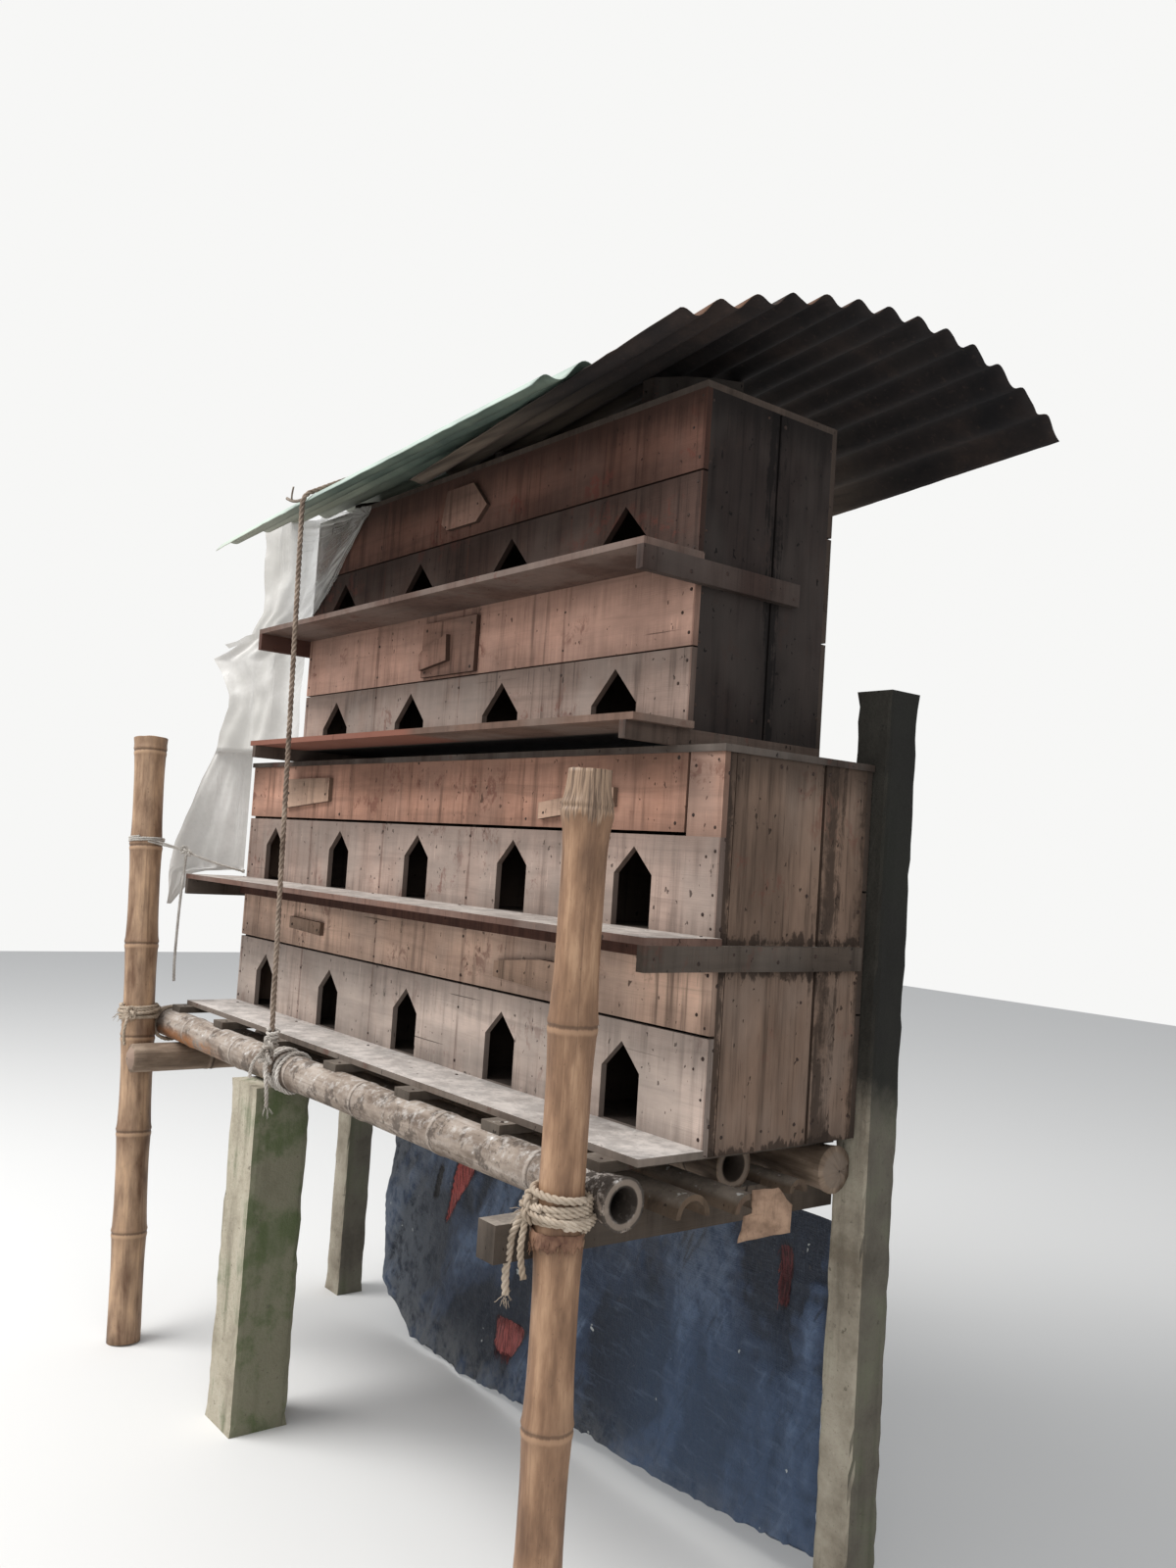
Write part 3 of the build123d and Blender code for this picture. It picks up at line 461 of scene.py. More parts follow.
def nailTree():
    tree = bpy.data.node_groups.new("nailHeads", "GeometryNodeTree")
    face = tree.interface
    face.new_socket("Geometry", in_out="INPUT", socket_type="NodeSocketGeometry")
    sockets = {}
    for label, kind, value in (
        ("Width", "NodeSocketFloat", nails["width"]),
        ("Proud", "NodeSocketFloat", nails["proud"]),
        ("Sides", "NodeSocketInt", nails["sides"]),
        ("Spread", "NodeSocketFloat", nails["spread"]),
        ("Seed", "NodeSocketInt", nails["seed"]),
        ("Finish", "NodeSocketMaterial", None),
    ):
        socket = face.new_socket(label, in_out="INPUT", socket_type=kind)
        sockets[label] = (socket.identifier, value)
    face.new_socket("Geometry", in_out="OUTPUT", socket_type="NodeSocketGeometry")

    def add(kind, settings, links):  # a new node, its inputs linked or set
        node = tree.nodes.new(kind)
        for key, value in settings.items():
            setattr(node, key, value)
        for key, value in links.items():
            if hasattr(value, "is_output"):
                tree.links.new(value, node.inputs[key])
            else:
                node.inputs[key].default_value = value
        return node.outputs[0] if node.outputs else node

    def reckon(how, first, second):
        return add("ShaderNodeMath", {"operation": how}, {0: first, 1: second})

    given = tree.nodes.new("NodeGroupInput").outputs
    radius = reckon("DIVIDE", given["Width"], 2.0)
    rim = reckon("MULTIPLY", radius, nails["rim"])
    head = add("GeometryNodeMeshCone", {}, {
        "Vertices": given["Sides"], "Radius Top": rim, "Radius Bottom": radius, "Depth": given["Proud"]})
    way = add("GeometryNodeInputNamedAttribute", {"data_type": "FLOAT_VECTOR"}, {"Name": "facing"})
    turned = add("FunctionNodeAlignRotationToVector", {"axis": "Z"}, {"Vector": way})
    least = reckon("SUBTRACT", 1.0, given["Spread"])
    most = reckon("ADD", 1.0, given["Spread"])
    size = add("FunctionNodeRandomValue", {"data_type": "FLOAT"}, {2: least, 3: most, "Seed": given["Seed"]})
    each = add("GeometryNodeInstanceOnPoints", {}, {
        "Points": given["Geometry"], "Instance": head, "Rotation": turned, "Scale": size.node.outputs[1]})
    real = add("GeometryNodeRealizeInstances", {}, {0: each})
    coat = add("GeometryNodeSetMaterial", {}, {"Geometry": real, "Material": given["Finish"]})
    add("NodeGroupOutput", {}, {0: coat})
    return tree, sockets


def ironFinish():
    f = Finish("rustyNail")
    grit = f.noise(f.place, 700.0, 3.0, 0.6)
    stops = [(0.35, (0.012, 0.010, 0.010)), (0.6, (0.055, 0.028, 0.018)), (0.8, (0.11, 0.055, 0.032))]
    return f.done(f.ramp(grit, stops), 0.7, f.bump(grit, 0.0004, 0.5), Metallic=0.35)


nailPoints = bpy.data.meshes.new("nailPoints")
nailPoints.from_pydata([tuple(spot(*place)) for place, _ in nailSpots], [], [])
facingLayer = nailPoints.attributes.new("facing", "FLOAT_VECTOR", "POINT")
for item, (_, facing) in zip(facingLayer.data, nailSpots):
    item.vector = facing
holder = bpy.data.objects.new("nailPoints", nailPoints)
bpy.context.scene.collection.objects.link(holder)
modifier = holder.modifiers.new("nails", "NODES")
modifier.node_group, nailSockets = nailTree()
for label, (identifier, value) in nailSockets.items():
    modifier[identifier] = ironFinish() if label == "Finish" else value
graph = bpy.context.evaluated_depsgraph_get()
nailMesh = bpy.data.meshes.new_from_object(holder.evaluated_get(graph))
bpy.data.objects.remove(holder)
nailPiece = bpy.data.objects.new("nailHeads", nailMesh)
bpy.context.scene.collection.objects.link(nailPiece)
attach(nailPiece, "root")
print("nails driven:", len(nailSpots), "faces", len(nailMesh.polygons))

# shapes


def meshPiece(name, points, faces, material, smooth=True, replaced=()):
    made = bpy.data.meshes.new(name)
    made.from_pydata([tuple(p) for p in points], [], faces)
    made.materials.append(material)
    made.polygons.foreach_set("use_smooth", [smooth] * len(made.polygons))
    made.update()
    piece = bpy.data.objects.new(name, made)
    bpy.context.scene.collection.objects.link(piece)
    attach(piece, "root")
    if replaced:
        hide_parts(*replaced)
    return piece


noise.seed_set(5)  # noise_vector depends on it


def wobble(point, size, amount):  # smooth random push, the same each run
    return noise.noise_vector(point * size) * amount


# roof

roofShape = {
    "pitch": 66.0,
    "depth": 17.0,
    "frontZ": 1103.0,
    "ridge": 505.0,
    "rearDrop": 90.0,
    "rearRun": 325.0,
    "frontY": -133.0,
    "rightX": 3.0,
    "gable": 0.05,
    "skew": 0.13,
    "fall": 0.026,
    "iron": 1.2,
    "droopRun": 260,  # how much of a sheet's left end droops
}


def crestHeight(run, rise):  # of the bent sheet, so far behind its front edge
    front, ridge = roofShape["frontZ"], roofShape["ridge"]
    if run < ridge:
        return front + rise * (1 - ((ridge - run) / ridge) ** 2)
    return front + rise - roofShape["rearDrop"] * ((run - ridge) / roofShape["rearRun"]) ** 2


def roofHeight(run, rise):
    wave = 1 - math.cos(2 * math.pi * run / roofShape["pitch"])
    return crestHeight(run, rise) - roofShape["depth"] / 2 * wave


def corrugated(name, sheet, material, node):
    slope = 1 / math.sqrt(1 + roofShape["gable"] ** 2)
    back = roofShape["rightX"] - sheet["rightX"]
    cornerY = roofShape["frontY"] + roofShape["skew"] * back
    perWave, steps = 12, sheet["steps"]
    runs = int(sheet["waves"] * perWave)
    points, faces = [], []
    for side in (0, 1):  # top, then underside
        for i in range(runs + 1):
            run = sheet["frontRun"] + i * roofShape["pitch"] / perWave
            for j in range(steps + 1):
                t = sheet["length"] * j / steps
                x = sheet["rightX"] + roofShape["gable"] * run * slope - t
                y = cornerY + run * slope + sheet["skew"] * t
                z = roofHeight(run, sheet["rise"]) + sheet["lift"]
                z -= roofShape["fall"] * back
                z -= sheet["fall"] * t
                p = Vector((x, y, z))
                dent = noise.noise(p * 0.006) * sheet["dent"] + noise.noise(p * 0.02) * sheet["dent"] * 0.4
                frontness = max(0.0, 1 - i / perWave)
                endness = max(0.0, (t - sheet["length"] + roofShape["droopRun"]) / roofShape["droopRun"])
                p.z += dent - sheet["droop"] * endness**2 * frontness
                if j in (0, steps):
                    p.x += noise.noise(Vector((run * 0.05, 3, j))) * 3.0
                if i in (0, runs):
                    p.y += noise.noise(Vector((t * 0.03, 7, i))) * 2.0
                p.z += roofShape["iron"] * (0 if side else 1)
                points.append(spot(*p))
    wide = steps + 1
    layer = (runs + 1) * wide
    for i in range(runs):
        for j in range(steps):
            a, b = i * wide + j, (i + 1) * wide + j
            faces.append((a, a + 1, b + 1, b))
            faces.append((layer + a, layer + b, layer + b + 1, layer + a + 1))
    for j in range(steps):
        a, b = j, runs * wide + j
        faces.append((a + 1, a, layer + a, layer + a + 1))
        faces.append((b, b + 1, layer + b + 1, layer + b))
    for i in range(runs):
        a, b = i * wide, i * wide + steps
        faces.append((a, a + wide, layer + a + wide, layer + a))
        faces.append((b + wide, b, layer + b, layer + b + wide))
    return meshPiece(name, points, faces, material, True, (node,))


def rustPaint():
    f = Finish("rustyIron")
    broad = f.noise(f.place, 4.0, 5.0, 0.65, 0.3)
    fine = f.noise(f.place, 90.0, 4.0, 0.7)
    runs = f.noise(f.vector(f.x * 3.0, f.y * 40.0, f.z * 40.0), 1.0, 4.0, 0.6)
    stops = [(0.34, (0.012, 0.011, 0.012)), (0.5, (0.024, 0.019, 0.018)), (0.66, (0.050, 0.034, 0.028))]
    f.paint = f.ramp(broad, stops)
    f.coat(f.fade(fine, 0.56, 0.76) * 0.5, (0.075, 0.048, 0.038))
    f.coat(f.fade(runs, 0.55, 0.7) * 0.5, (0.014, 0.012, 0.012))
    left = f.fade(f.x + (runs - 0.5) * 0.3, spot(-250, 0, 0).x, spot(-700, 0, 0).x)
    f.coat(left * f.fade(runs, 0.35, 0.6, 0.30, 0.85), (0.190, 0.150, 0.115))
    top = f.fade(f.facing()[2], 0.2, 0.5)
    f.coat(top * f.fade(broad, 0.35, 0.6) * 0.8, (0.15, 0.075, 0.042))
    return f.done(f.paint, 0.85, f.bump(fine * 0.6 + broad, 0.001, 0.6), Specular_IOR_Level=0.2)


def greenPaint():
    f = Finish("chalkyGreenIron")
    broad = f.noise(f.place, 5.0, 5.0, 0.6)
    fine = f.noise(f.place, 140.0, 4.0, 0.7)
    runs = f.noise(f.vector(f.x * 2.2, f.y * 60.0, f.z * 60.0), 1.0, 4.0, 0.6)
    stops = [(0.32, (0.055, 0.085, 0.075)), (0.52, (0.105, 0.145, 0.118)), (0.68, (0.19, 0.235, 0.185))]
    f.paint = f.ramp(broad, stops)
    # painted light: the sheet's left end is paler, as if lit from behind
    left = f.fade(f.x, spot(-900, 0, 0).x, spot(-1350, 0, 0).x)
    litLeftEnd = f.mix(f.fade(runs, 0.42, 0.62), (0.30, 0.305, 0.235), (0.42, 0.43, 0.35))
    f.coat(left * 0.8, litLeftEnd)
    top = f.fade(f.facing()[2], 0.2, 0.5)
    f.coat(top * f.fade(broad, 0.30, 0.6, 0.3, 0.8), (0.44, 0.51, 0.45))
    f.coat(f.fade(runs, 0.56, 0.72) * 0.45, (0.16, 0.17, 0.13))
    f.coat(f.fade(fine, 0.60, 0.75) * 0.4, (0.25, 0.18, 0.12))
    return f.done(f.paint, 0.6, f.bump(fine * 0.4 + broad, 0.0008, 0.5), Specular_IOR_Level=0.35)


rustySheet = {"rightX": 3.0, "frontRun": 0.0, "waves": 12.5, "length": 888.0, "lift": 0.0, "rise": 133.0,
              "skew": 0.13, "fall": 0.026, "steps": 40, "dent": 1.1, "droop": 0.0}
greenSheet = {"rightX": -246.0, "frontRun": -82.5, "waves": 8.25, "length": 1158.0, "lift": 13.9,
              "rise": 141.0, "skew": 0.0, "fall": 0.0506, "steps": 48, "dent": 1.1, "droop": 6.0}
corrugated("rustyRoof", rustySheet, rustPaint(), "rusty_sheet")
corrugated("greenRoof", greenSheet, greenPaint(), "green_sheet")
print("roof made")

# bamboo


def frameAlong(direction):
    d = direction.normalized()
    side = d.cross(Vector((0, 0, 1)))
    if side.length < 0.2:
        side = d.cross(Vector((0, 1, 0)))
    side.normalize()
    return side, d.cross(side)


nodeRings = (("swell", 0, 1500.0, 1.0), ("ridge", 4, 30.0, 1.0), ("ridge", -6, 18.0, 0.7))
culmSteps = {"along": 26.0, "hewn": 5.0, "hole": 58.0, "node": (-22, -14, -8, -5, -2, 0, 2, 5, 9, 16, 24)}


def culm(name, foot, top, cane, material, replaced, seed=0.0):  # places in mm
    axis = (top - foot).normalized()
    length = (top - foot).length
    side, other = frameAlong(axis)
    around = cane.get("around", 40)
    hewn = cane.get("hewn", length + 1)  # rough, hacked wood above this, or else the very end
    stations = {round(length, 2), round(hewn, 2)}
    for start, step in ((0.0, culmSteps["along"]), (hewn, culmSteps["hewn"])):
        while start < length:
            stations.add(round(start, 2))
            start += step
    for at in cane["nodes"]:
        for offset in culmSteps["node"]:
            if 2 < at + offset < length - 2:
                stations.add(round(at + offset, 2))
    stations = sorted(stations)
    points, faces, grain = [], [], []

    def ring(at, radius, ragged=0.0, deep=0.03):
        centre = foot + axis * at
        bend = wobble(Vector((at * 0.0016, seed, 1.7)), 1.0, cane.get("bend", 3.0))
        bend -= axis * bend.dot(axis)
        first = len(points)
        for k in range(around):
            angle = 2 * math.pi * k / around
            out = side * math.cos(angle) + other * math.sin(angle)
            lump = noise.noise(Vector((math.cos(angle) * 0.8, math.sin(angle) * 0.8, at * 0.006 + seed)))
            hack = abs(noise.noise(Vector((math.cos(angle) * 4.0, math.sin(angle) * 4.0, at * 0.010 + seed))))
            r = radius * (1 + 0.02 * lump - 0.20 * hack * min(1.0, max(0.0, (at - hewn) / 12.0)))
            along = noise.noise(Vector((angle * 3.0, seed, at))) * ragged
            place = spot(*(centre + bend + out * r + axis * along))
            place.z = max(place.z, 0.0)  # cut level with the ground
            points.append(place)
            grain.append((math.cos(angle) * deep, math.sin(angle) * deep, at / 1000 + seed))
        return first

    def skin(a, b):
        for k in range(around):
            n = (k + 1) % around
            faces.append((a + k, a + n, b + n, b + k))

    base = cane["radius"]
    wall = cane["wall"]
    rings = []
    for at in stations:
        taper = 1 - cane.get("taper", 0.0) * at / length
        r = base * taper
        for node in cane["nodes"]:
            gap = at - node
            for part, middle, spread, share in nodeRings:
                r += base * cane.get(part, 0.0) * share * math.exp(-((gap - middle) ** 2) / spread)
            r -= base * 0.03 * math.exp(-(gap**2) / 6.0)
        r += base * 0.12 * math.exp(-((at - hewn - 6.0) ** 2) / 420.0)
        rings.append(ring(at, r, cane.get("ragged", 1.0) if at in (stations[0], stations[-1]) else 0.0))
    for a, b in zip(rings, rings[1:]):
        skin(a, b)
    for start, inward, outer in ((stations[0], 1, rings[0]), (stations[-1], -1, rings[-1])):
        r = base * (1 if inward > 0 else 1 - cane.get("taper", 0.0)) - wall
        if cane.get("plug") == inward:  # rotten and closed
            shells = [ring(start - bulge * inward, r * part, 5.0 if inward < 0 else 1.0)
                      for part, bulge in ((1.12, 3), (0.8, 7), (0.45, 9), (0.12, 10))]
            for a, b in zip([outer] + shells, shells):
                skin(*((a, b) if inward < 0 else (b, a)))
            faces.append(tuple(shells[-1] + (k if inward < 0 else around - 1 - k) for k in range(around)))
            continue
        lip = ring(start + inward * 0.4, r, 0.0, 0.02)
        deep = ring(start + inward * culmSteps["hole"], r * 0.96, 0.0, 0.02)
        if inward > 0:
            skin(lip, outer)
            skin(deep, lip)
            faces.append(tuple(deep + k for k in range(around)))
        else:
            skin(outer, lip)
            skin(lip, deep)
            faces.append(tuple(deep + k for k in reversed(range(around))))
    piece = meshPiece(name, points, faces, material, True, replaced)
    layer = piece.data.attributes.new("grain", "FLOAT_VECTOR", "POINT")
    for item, value in zip(layer.data, grain):
        item.vector = value
    return piece


def dirtyTop(f, spots):  # droppings on top, rotten brown below
    up = f.facing()[2]
    blot = f.noise(f.place, 21.0, 6.0, 0.74)
    splash = f.noise(f.place, 74.0, 4.0, 0.66)
    f.coat(f.fade(blot, 0.52, 0.60) * 0.75, (0.065, 0.048, 0.038))
    f.coat(f.fade(up, -0.10, 0.70) * f.fade(splash, 0.47, 0.66) * 0.75, (0.46, 0.425, 0.39))
    f.coat(f.fade(up, -0.4, 0.5) * f.fade(splash, 0.66, 0.70) * 0.9, (0.68, 0.66, 0.63))
    left = f.fade(f.x, spot(-1180, 0, 0).x, spot(-1330, 0, 0).x)
    below = f.fade(up, 0.25, -0.45)
    f.coat(left * below * f.fade(blot, 0.40, 0.52) * 0.85, (0.33, 0.135, 0.045))
    f.coat(below * f.fade(blot, 0.50, 0.42) * 0.5, (0.075, 0.048, 0.032))
    rightEnd = f.fade(f.x + (blot - 0.5) * 0.05, spot(-120, 0, 0).x, spot(-60, 0, 0).x)
    f.coat(rightEnd * f.fade(splash, 0.62, 0.50) * 0.9, (0.045, 0.035, 0.028))
    f.coat(rightEnd * f.fade(spots, 0.30, 0.22) * 0.6, (0.14, 0.10, 0.075))


def bambooSkin(name, look):
    f = Finish(name)
    grain = f.node("Attribute", {"attribute_name": "grain"}, {}, "Vector")
    u, v, along = f.parts(grain)
    fibre = f.noise(f.vector(u * 900.0, v * 900.0, along * 9.0), 1.0, 4.0, 0.65)
    stripe = f.noise(f.vector(u * 240.0, v * 240.0, along * 2.2), 1.0, 4.0, 0.6)
    cloud = f.noise(f.vector(u * 40.0, v * 40.0, along * 9.0), 1.0, 4.0, 0.6)
    spots = f.noise(f.vector(u * 200.0, v * 200.0, along * 120.0), 1.0, 4.0, 0.7)
    f.paint = f.ramp(cloud, [(0.32, look["dark"]), (0.5, look["mid"]), (0.66, look["pale"])])
    f.coat(f.fade(stripe, 0.5, 0.75) * look["stripes"], look["dark"])
    f.coat(f.fade(fibre, 0.5, 0.8) * 0.35, look["pale"])
    f.coat(f.fade(spots, 0.62, 0.72) * look["spots"], look["stainAndShade"])
    for at in look["nodes"]:
        gap = along - (at / 1000 + look["seed"]) + (stripe - 0.5) * 0.004
        f.coat(f.fade(gap.size(), 0.055, 0.0) * 0.35, look["dark"])
        f.coat(f.fade((gap + 0.006).size(), 0.006, 0.001) * 0.55, look["pale"])
        f.coat(f.fade(gap.size(), 0.0035, 0.0012) * look["nodeDark"], look["stainAndShade"])
    crack = f.noise(f.vector(u * 330.0, v * 330.0, along * 2.0), 1.0, 2.0)
    f.coat(f.fade(crack, 0.745, 0.765) * look.get("cracks", 0.0), look["stainAndShade"])
    if look.get("dirty"):
        dirtyTop(f, spots)
    if look.get("hewn"):
        groove = f.noise(f.vector(u * 420.0, v * 420.0, along * 16.0), 1.0, 4.0, 0.65)
        rough = f.mix(f.fade(groove, 0.38, 0.60), (0.105, 0.068, 0.046), (0.33, 0.225, 0.150))
        start = look["hewn"] / 1000 + look["seed"]
        above = f.fade(along + (stripe - 0.5) * 0.05, start - 0.006, start + 0.004)
        f.coat(above * 0.9, rough)
    sawn = f.fade(f.facing()[look["ends"]].size(), 0.80, 0.92)
    f.coat(sawn * 0.85, look["sawn"])
    # painted shade: the inside of a hollow end is painted near black
    bore = f.node("Math", {"operation": "SQRT"}, {0: u * u + v * v})
    f.coat(f.fade(bore, 0.0225, 0.0205) * 0.9, (0.020, 0.014, 0.010))
    height = fibre * 0.5 + stripe * 0.6 + spots * 0.3
    return f.done(f.paint, look["rough"], f.bump(height, 0.0008, 0.6), Specular_IOR_Level=0.35)


freshLook = {"pale": (0.42, 0.258, 0.155), "mid": (0.265, 0.150, 0.086), "dark": (0.140, 0.075, 0.042),
             "stainAndShade": (0.050, 0.026, 0.015), "sawn": (0.34, 0.25, 0.165), "stripes": 0.6, "spots": 0.5,
             "nodeDark": 0.5, "cracks": 0.8, "rough": 0.55, "ends": 2}
oldLook = {"pale": (0.30, 0.225, 0.165), "mid": (0.19, 0.135, 0.095), "dark": (0.095, 0.064, 0.043),
           "stainAndShade": (0.040, 0.026, 0.018), "sawn": (0.17, 0.13, 0.10), "stripes": 0.7, "spots": 0.7,
           "nodeDark": 0.8, "cracks": 0.8, "rough": 0.85, "ends": 0}
frontPoleLook = {"pale": (0.42, 0.36, 0.31), "mid": (0.29, 0.235, 0.19), "dark": (0.135, 0.098, 0.074),
                 "stainAndShade": (0.035, 0.024, 0.018), "sawn": (0.22, 0.175, 0.14), "stripes": 0.5, "spots": 0.8,
                 "nodeDark": 0.55, "cracks": 0.5, "rough": 0.9, "ends": 0, "dirty": True}

rightCane = {"radius": 30.0, "wall": 9.0, "ridge": 0.05, "taper": 0.06, "swell": 0.085,
             "nodes": [165, 384, 615, 875, 1148], "hewn": 1136.0, "around": 88}
leftCane = {"radius": 34.0, "wall": 9.0, "ridge": 0.055, "taper": 0.06, "swell": 0.06,
            "nodes": [223, 433, 634, 835, 1051, 1266]}
leftLook = vary(freshLook, pale=(0.50, 0.325, 0.20), mid=(0.32, 0.205, 0.128))
crossLook = vary(oldLook, ends=1, sawn=(0.30, 0.21, 0.16))
frontCane = {"radius": 31.0, "wall": 10.0, "ridge": 0.05, "bend": 4.0,
             "nodes": [200, 450, 700, 950, 1200, 1450]}
middleCane = vary(frontCane, bend=0.0)
rearCane = vary(frontCane, bend=0.0, plug=-1)
crossCane = {"radius": 30.0, "wall": 10.0, "ridge": 0.05, "bend": 0.0, "plug": 1, "nodes": [170, 425]}
poleEnd, poleZ, crossZ = -1610, -45, -106  # the poles' left end and their middles' heights
rightPostX, rightPostY = -42.0, -196.2
rightFoot = Vector((rightPostX, rightPostY, -700.0))
rightTop = rightFoot + Vector((0, 0, 1196))
leftFoot = Vector((-1492.0, -208.0, -700.0))
leftAim = Vector((-145.0, 0.0, 1297.0)).normalized()
leftTop = leftFoot + leftAim * 1294
crossLow, crossHigh = map(fromFrame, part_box("left_beam"))
crossX = (crossLow.x + crossHigh.x) / 2
for name, nodeName, foot, top, cane, skinName, look, seed in (
    ("rightPost", "right_post", rightFoot, rightTop, rightCane, "freshBambooRight", freshLook, 3.1),
    ("leftPost", "left_post", leftFoot, leftTop, leftCane, "freshBambooLeft", leftLook, 8.4),
    ("frontPole", "front_pole", (poleEnd, -135, poleZ), (4, -135, poleZ), frontCane, "oldBambooFront",
     frontPoleLook, 12.7),
    ("middlePole", "middle_pole", (poleEnd, 150, poleZ), (-88, 150, poleZ), middleCane, "middlePoleBamboo",
     oldLook, 17.0),
    ("rearPole", "rear_pole", (poleEnd, 278, poleZ), (-10, 278, poleZ), rearCane, "rearPoleBamboo",
     oldLook, 21.0),
    ("crossPole", "left_beam", (crossX, -240, crossZ), (crossX, crossHigh.y, crossZ), crossCane,
     "oldBambooCross", crossLook, 26.0),
):
    skinLook = vary(look, nodes=cane["nodes"], hewn=cane.get("hewn"), seed=seed)
    culm(name, Vector(foot), Vector(top), cane, bambooSkin(skinName, skinLook), (nodeName,), seed)
print("bamboo made")

# rope


def smoothPath(corners, spacing):  # even points along a rounded route, in mm
    curve = bpy.data.curves.new("route", "CURVE")
    curve.dimensions = "3D"
    line = curve.splines.new("NURBS")
    line.points.add(len(corners) - 1)
    for point, corner in zip(line.points, corners):
        point.co = (*corner, 1)
    line.order_u = 3
    line.use_endpoint_u = True
    line.resolution_u = 16
    holder = bpy.data.objects.new("route", curve)
    bpy.context.scene.collection.objects.link(holder)
    flat = bpy.data.meshes.new_from_object(holder)
    raw = [v.co.copy() for v in flat.vertices]
    bpy.data.objects.remove(holder)
    bpy.data.curves.remove(curve)
    bpy.data.meshes.remove(flat)
    even, left = [raw[0]], spacing
    for a, b in zip(raw, raw[1:]):
        gone, span = 0.0, (b - a).length
        while span - gone > left:
            gone += left
            even.append(a.lerp(b, gone / span))
            left = spacing
        left -= span - gone
    return even


def ropeMesh(ropes, lay, points, faces):
    # adds a twisted rope along each path to the lists
    count, sides = lay["count"], lay["sides"]
    for path, radius, pitch, phase in ropes:
        up = None
        gone = 0.0
        loops = [[] for _ in range(count)]
        for i, place in enumerate(path):
            ahead = path[min(i + 1, len(path) - 1)] - path[max(i - 1, 0)]
            if ahead.length < 1e-6:
                continue
            ahead.normalize()
            if up is None:
                up, _ = frameAlong(ahead)
            up = (up - ahead * up.dot(ahead)).normalized()
            across = ahead.cross(up)
            if i:
                gone += (place - path[i - 1]).length
            for s in range(count):
                angle = phase + 2 * math.pi * (gone / pitch + s / count)
                off = up * math.cos(angle) + across * math.sin(angle)
                centre = place + off * radius * 0.50
                first = len(points)
                for k in range(sides):
                    turnBy = 2 * math.pi * k / sides
                    out = up * math.cos(turnBy) + across * math.sin(turnBy)
                    points.append(spot(*(centre + out * radius * 0.52)))
                loops[s].append(first)
        for rings in loops:
            for a, b in zip(rings, rings[1:]):
                for k in range(sides):
                    n = (k + 1) % sides
                    faces.append((a + k, a + n, b + n, b + k))
            faces.append(tuple(rings[0] + k for k in reversed(range(sides))))
            faces.append(tuple(rings[-1] + k for k in range(sides)))


def strand(route, spacing, radius, pitch, phase=0.0):  # one rope for ropeMesh
    return smoothPath(route, spacing), radius, pitch, phase


def addHairs(hairs, radius, points, faces):
    ropeMesh([strand(hair, 3.0, radius, 9.0) for hair in hairs], {"count": 1, "sides": 4}, points, faces)


def ropeFinish(name, pale, dark):
    f = Finish(name)
    fibre = f.noise(f.place, 900.0, 3.0, 0.6)
    cloud = f.noise(f.place, 24.0, 4.0, 0.6)
    f.paint = f.ramp(cloud, [(0.35, dark), (0.65, pale)])
    f.coat(f.fade(fibre, 0.45, 0.7) * 0.5, dark)
    return f.done(f.paint, 0.95, f.bump(fibre, 0.0006, 0.8), Specular_IOR_Level=0.1)



def knot(centre, size, facing, turnBy=0.0):  # a tight overhand lump
    side, other = frameAlong(facing)
    out = []
    for k in range(49):
        t = 2 * math.pi * k / 48 + turnBy
        a = math.sin(t) + 2 * math.sin(2 * t)
        b = math.cos(t) - 2 * math.cos(2 * t)
        c = -math.sin(3 * t)
        out.append(centre + side * a * size / 3 + other * b * size / 3 + facing.normalized() * c * size / 2.4)
    return out


def turnsRound(centre, axis, radius, rise, turns, startAngle=0.0, uneven=1.2):
    side, other = frameAlong(axis)
    out = []
    count = int(turns * 36)
    for k in range(count + 1):
        angle = startAngle + 2 * math.pi * k / 36
        r = radius + noise.noise(Vector((k * 0.13, radius, 5))) * uneven
        up = rise * k / max(count, 1) + noise.noise(Vector((k * 0.07, 2, radius))) * uneven * 1.5
        out.append(centre + side * math.cos(angle) * r + other * math.sin(angle) * r + axis.normalized() * up)
    return out


def places(*rows):
    return [Vector(row) for row in rows]


def frayed(centre, facing, count, length, seed):  # loose fibre ends standing out of a knot
    hairs = []
    for k in range(count):
        turned = noise.random_unit_vector()
        spread = (facing.normalized() * 0.55 + turned).normalized()
        hang = Vector((0, 0, -0.5 * length))
        reach = length * (0.5 + 0.5 * abs(noise.noise(Vector((k * 1.7, seed, 3)))) * 2)
        tip = centre + spread * reach + hang * 0.5
        hairs.append([centre + turned * 5, centre + spread * reach * 0.6, tip])
    return hairs


stay = {"radius": 5.0, "pitch": 34.0, "footX": -960.0, "topX": -976.0, "spacing": 4.5, "over": 5.6}
greenCorner = Vector((
    greenSheet["rightX"],
    roofShape["frontY"] + roofShape["skew"] * (roofShape["rightX"] - greenSheet["rightX"]),
    -roofShape["fall"] * (roofShape["rightX"] - greenSheet["rightX"]),
))


def overGreen(run, above):  # place over a crest of the green sheet, on the line of the stay
    x = stay["topX"]
    drop = greenSheet["fall"] * (greenSheet["rightX"] - x + roofShape["gable"] * run)
    high = crestHeight(run, greenSheet["rise"]) + greenSheet["lift"] + roofShape["iron"]
    return Vector((x, greenCorner.y + run, high - drop + greenCorner.z + above))


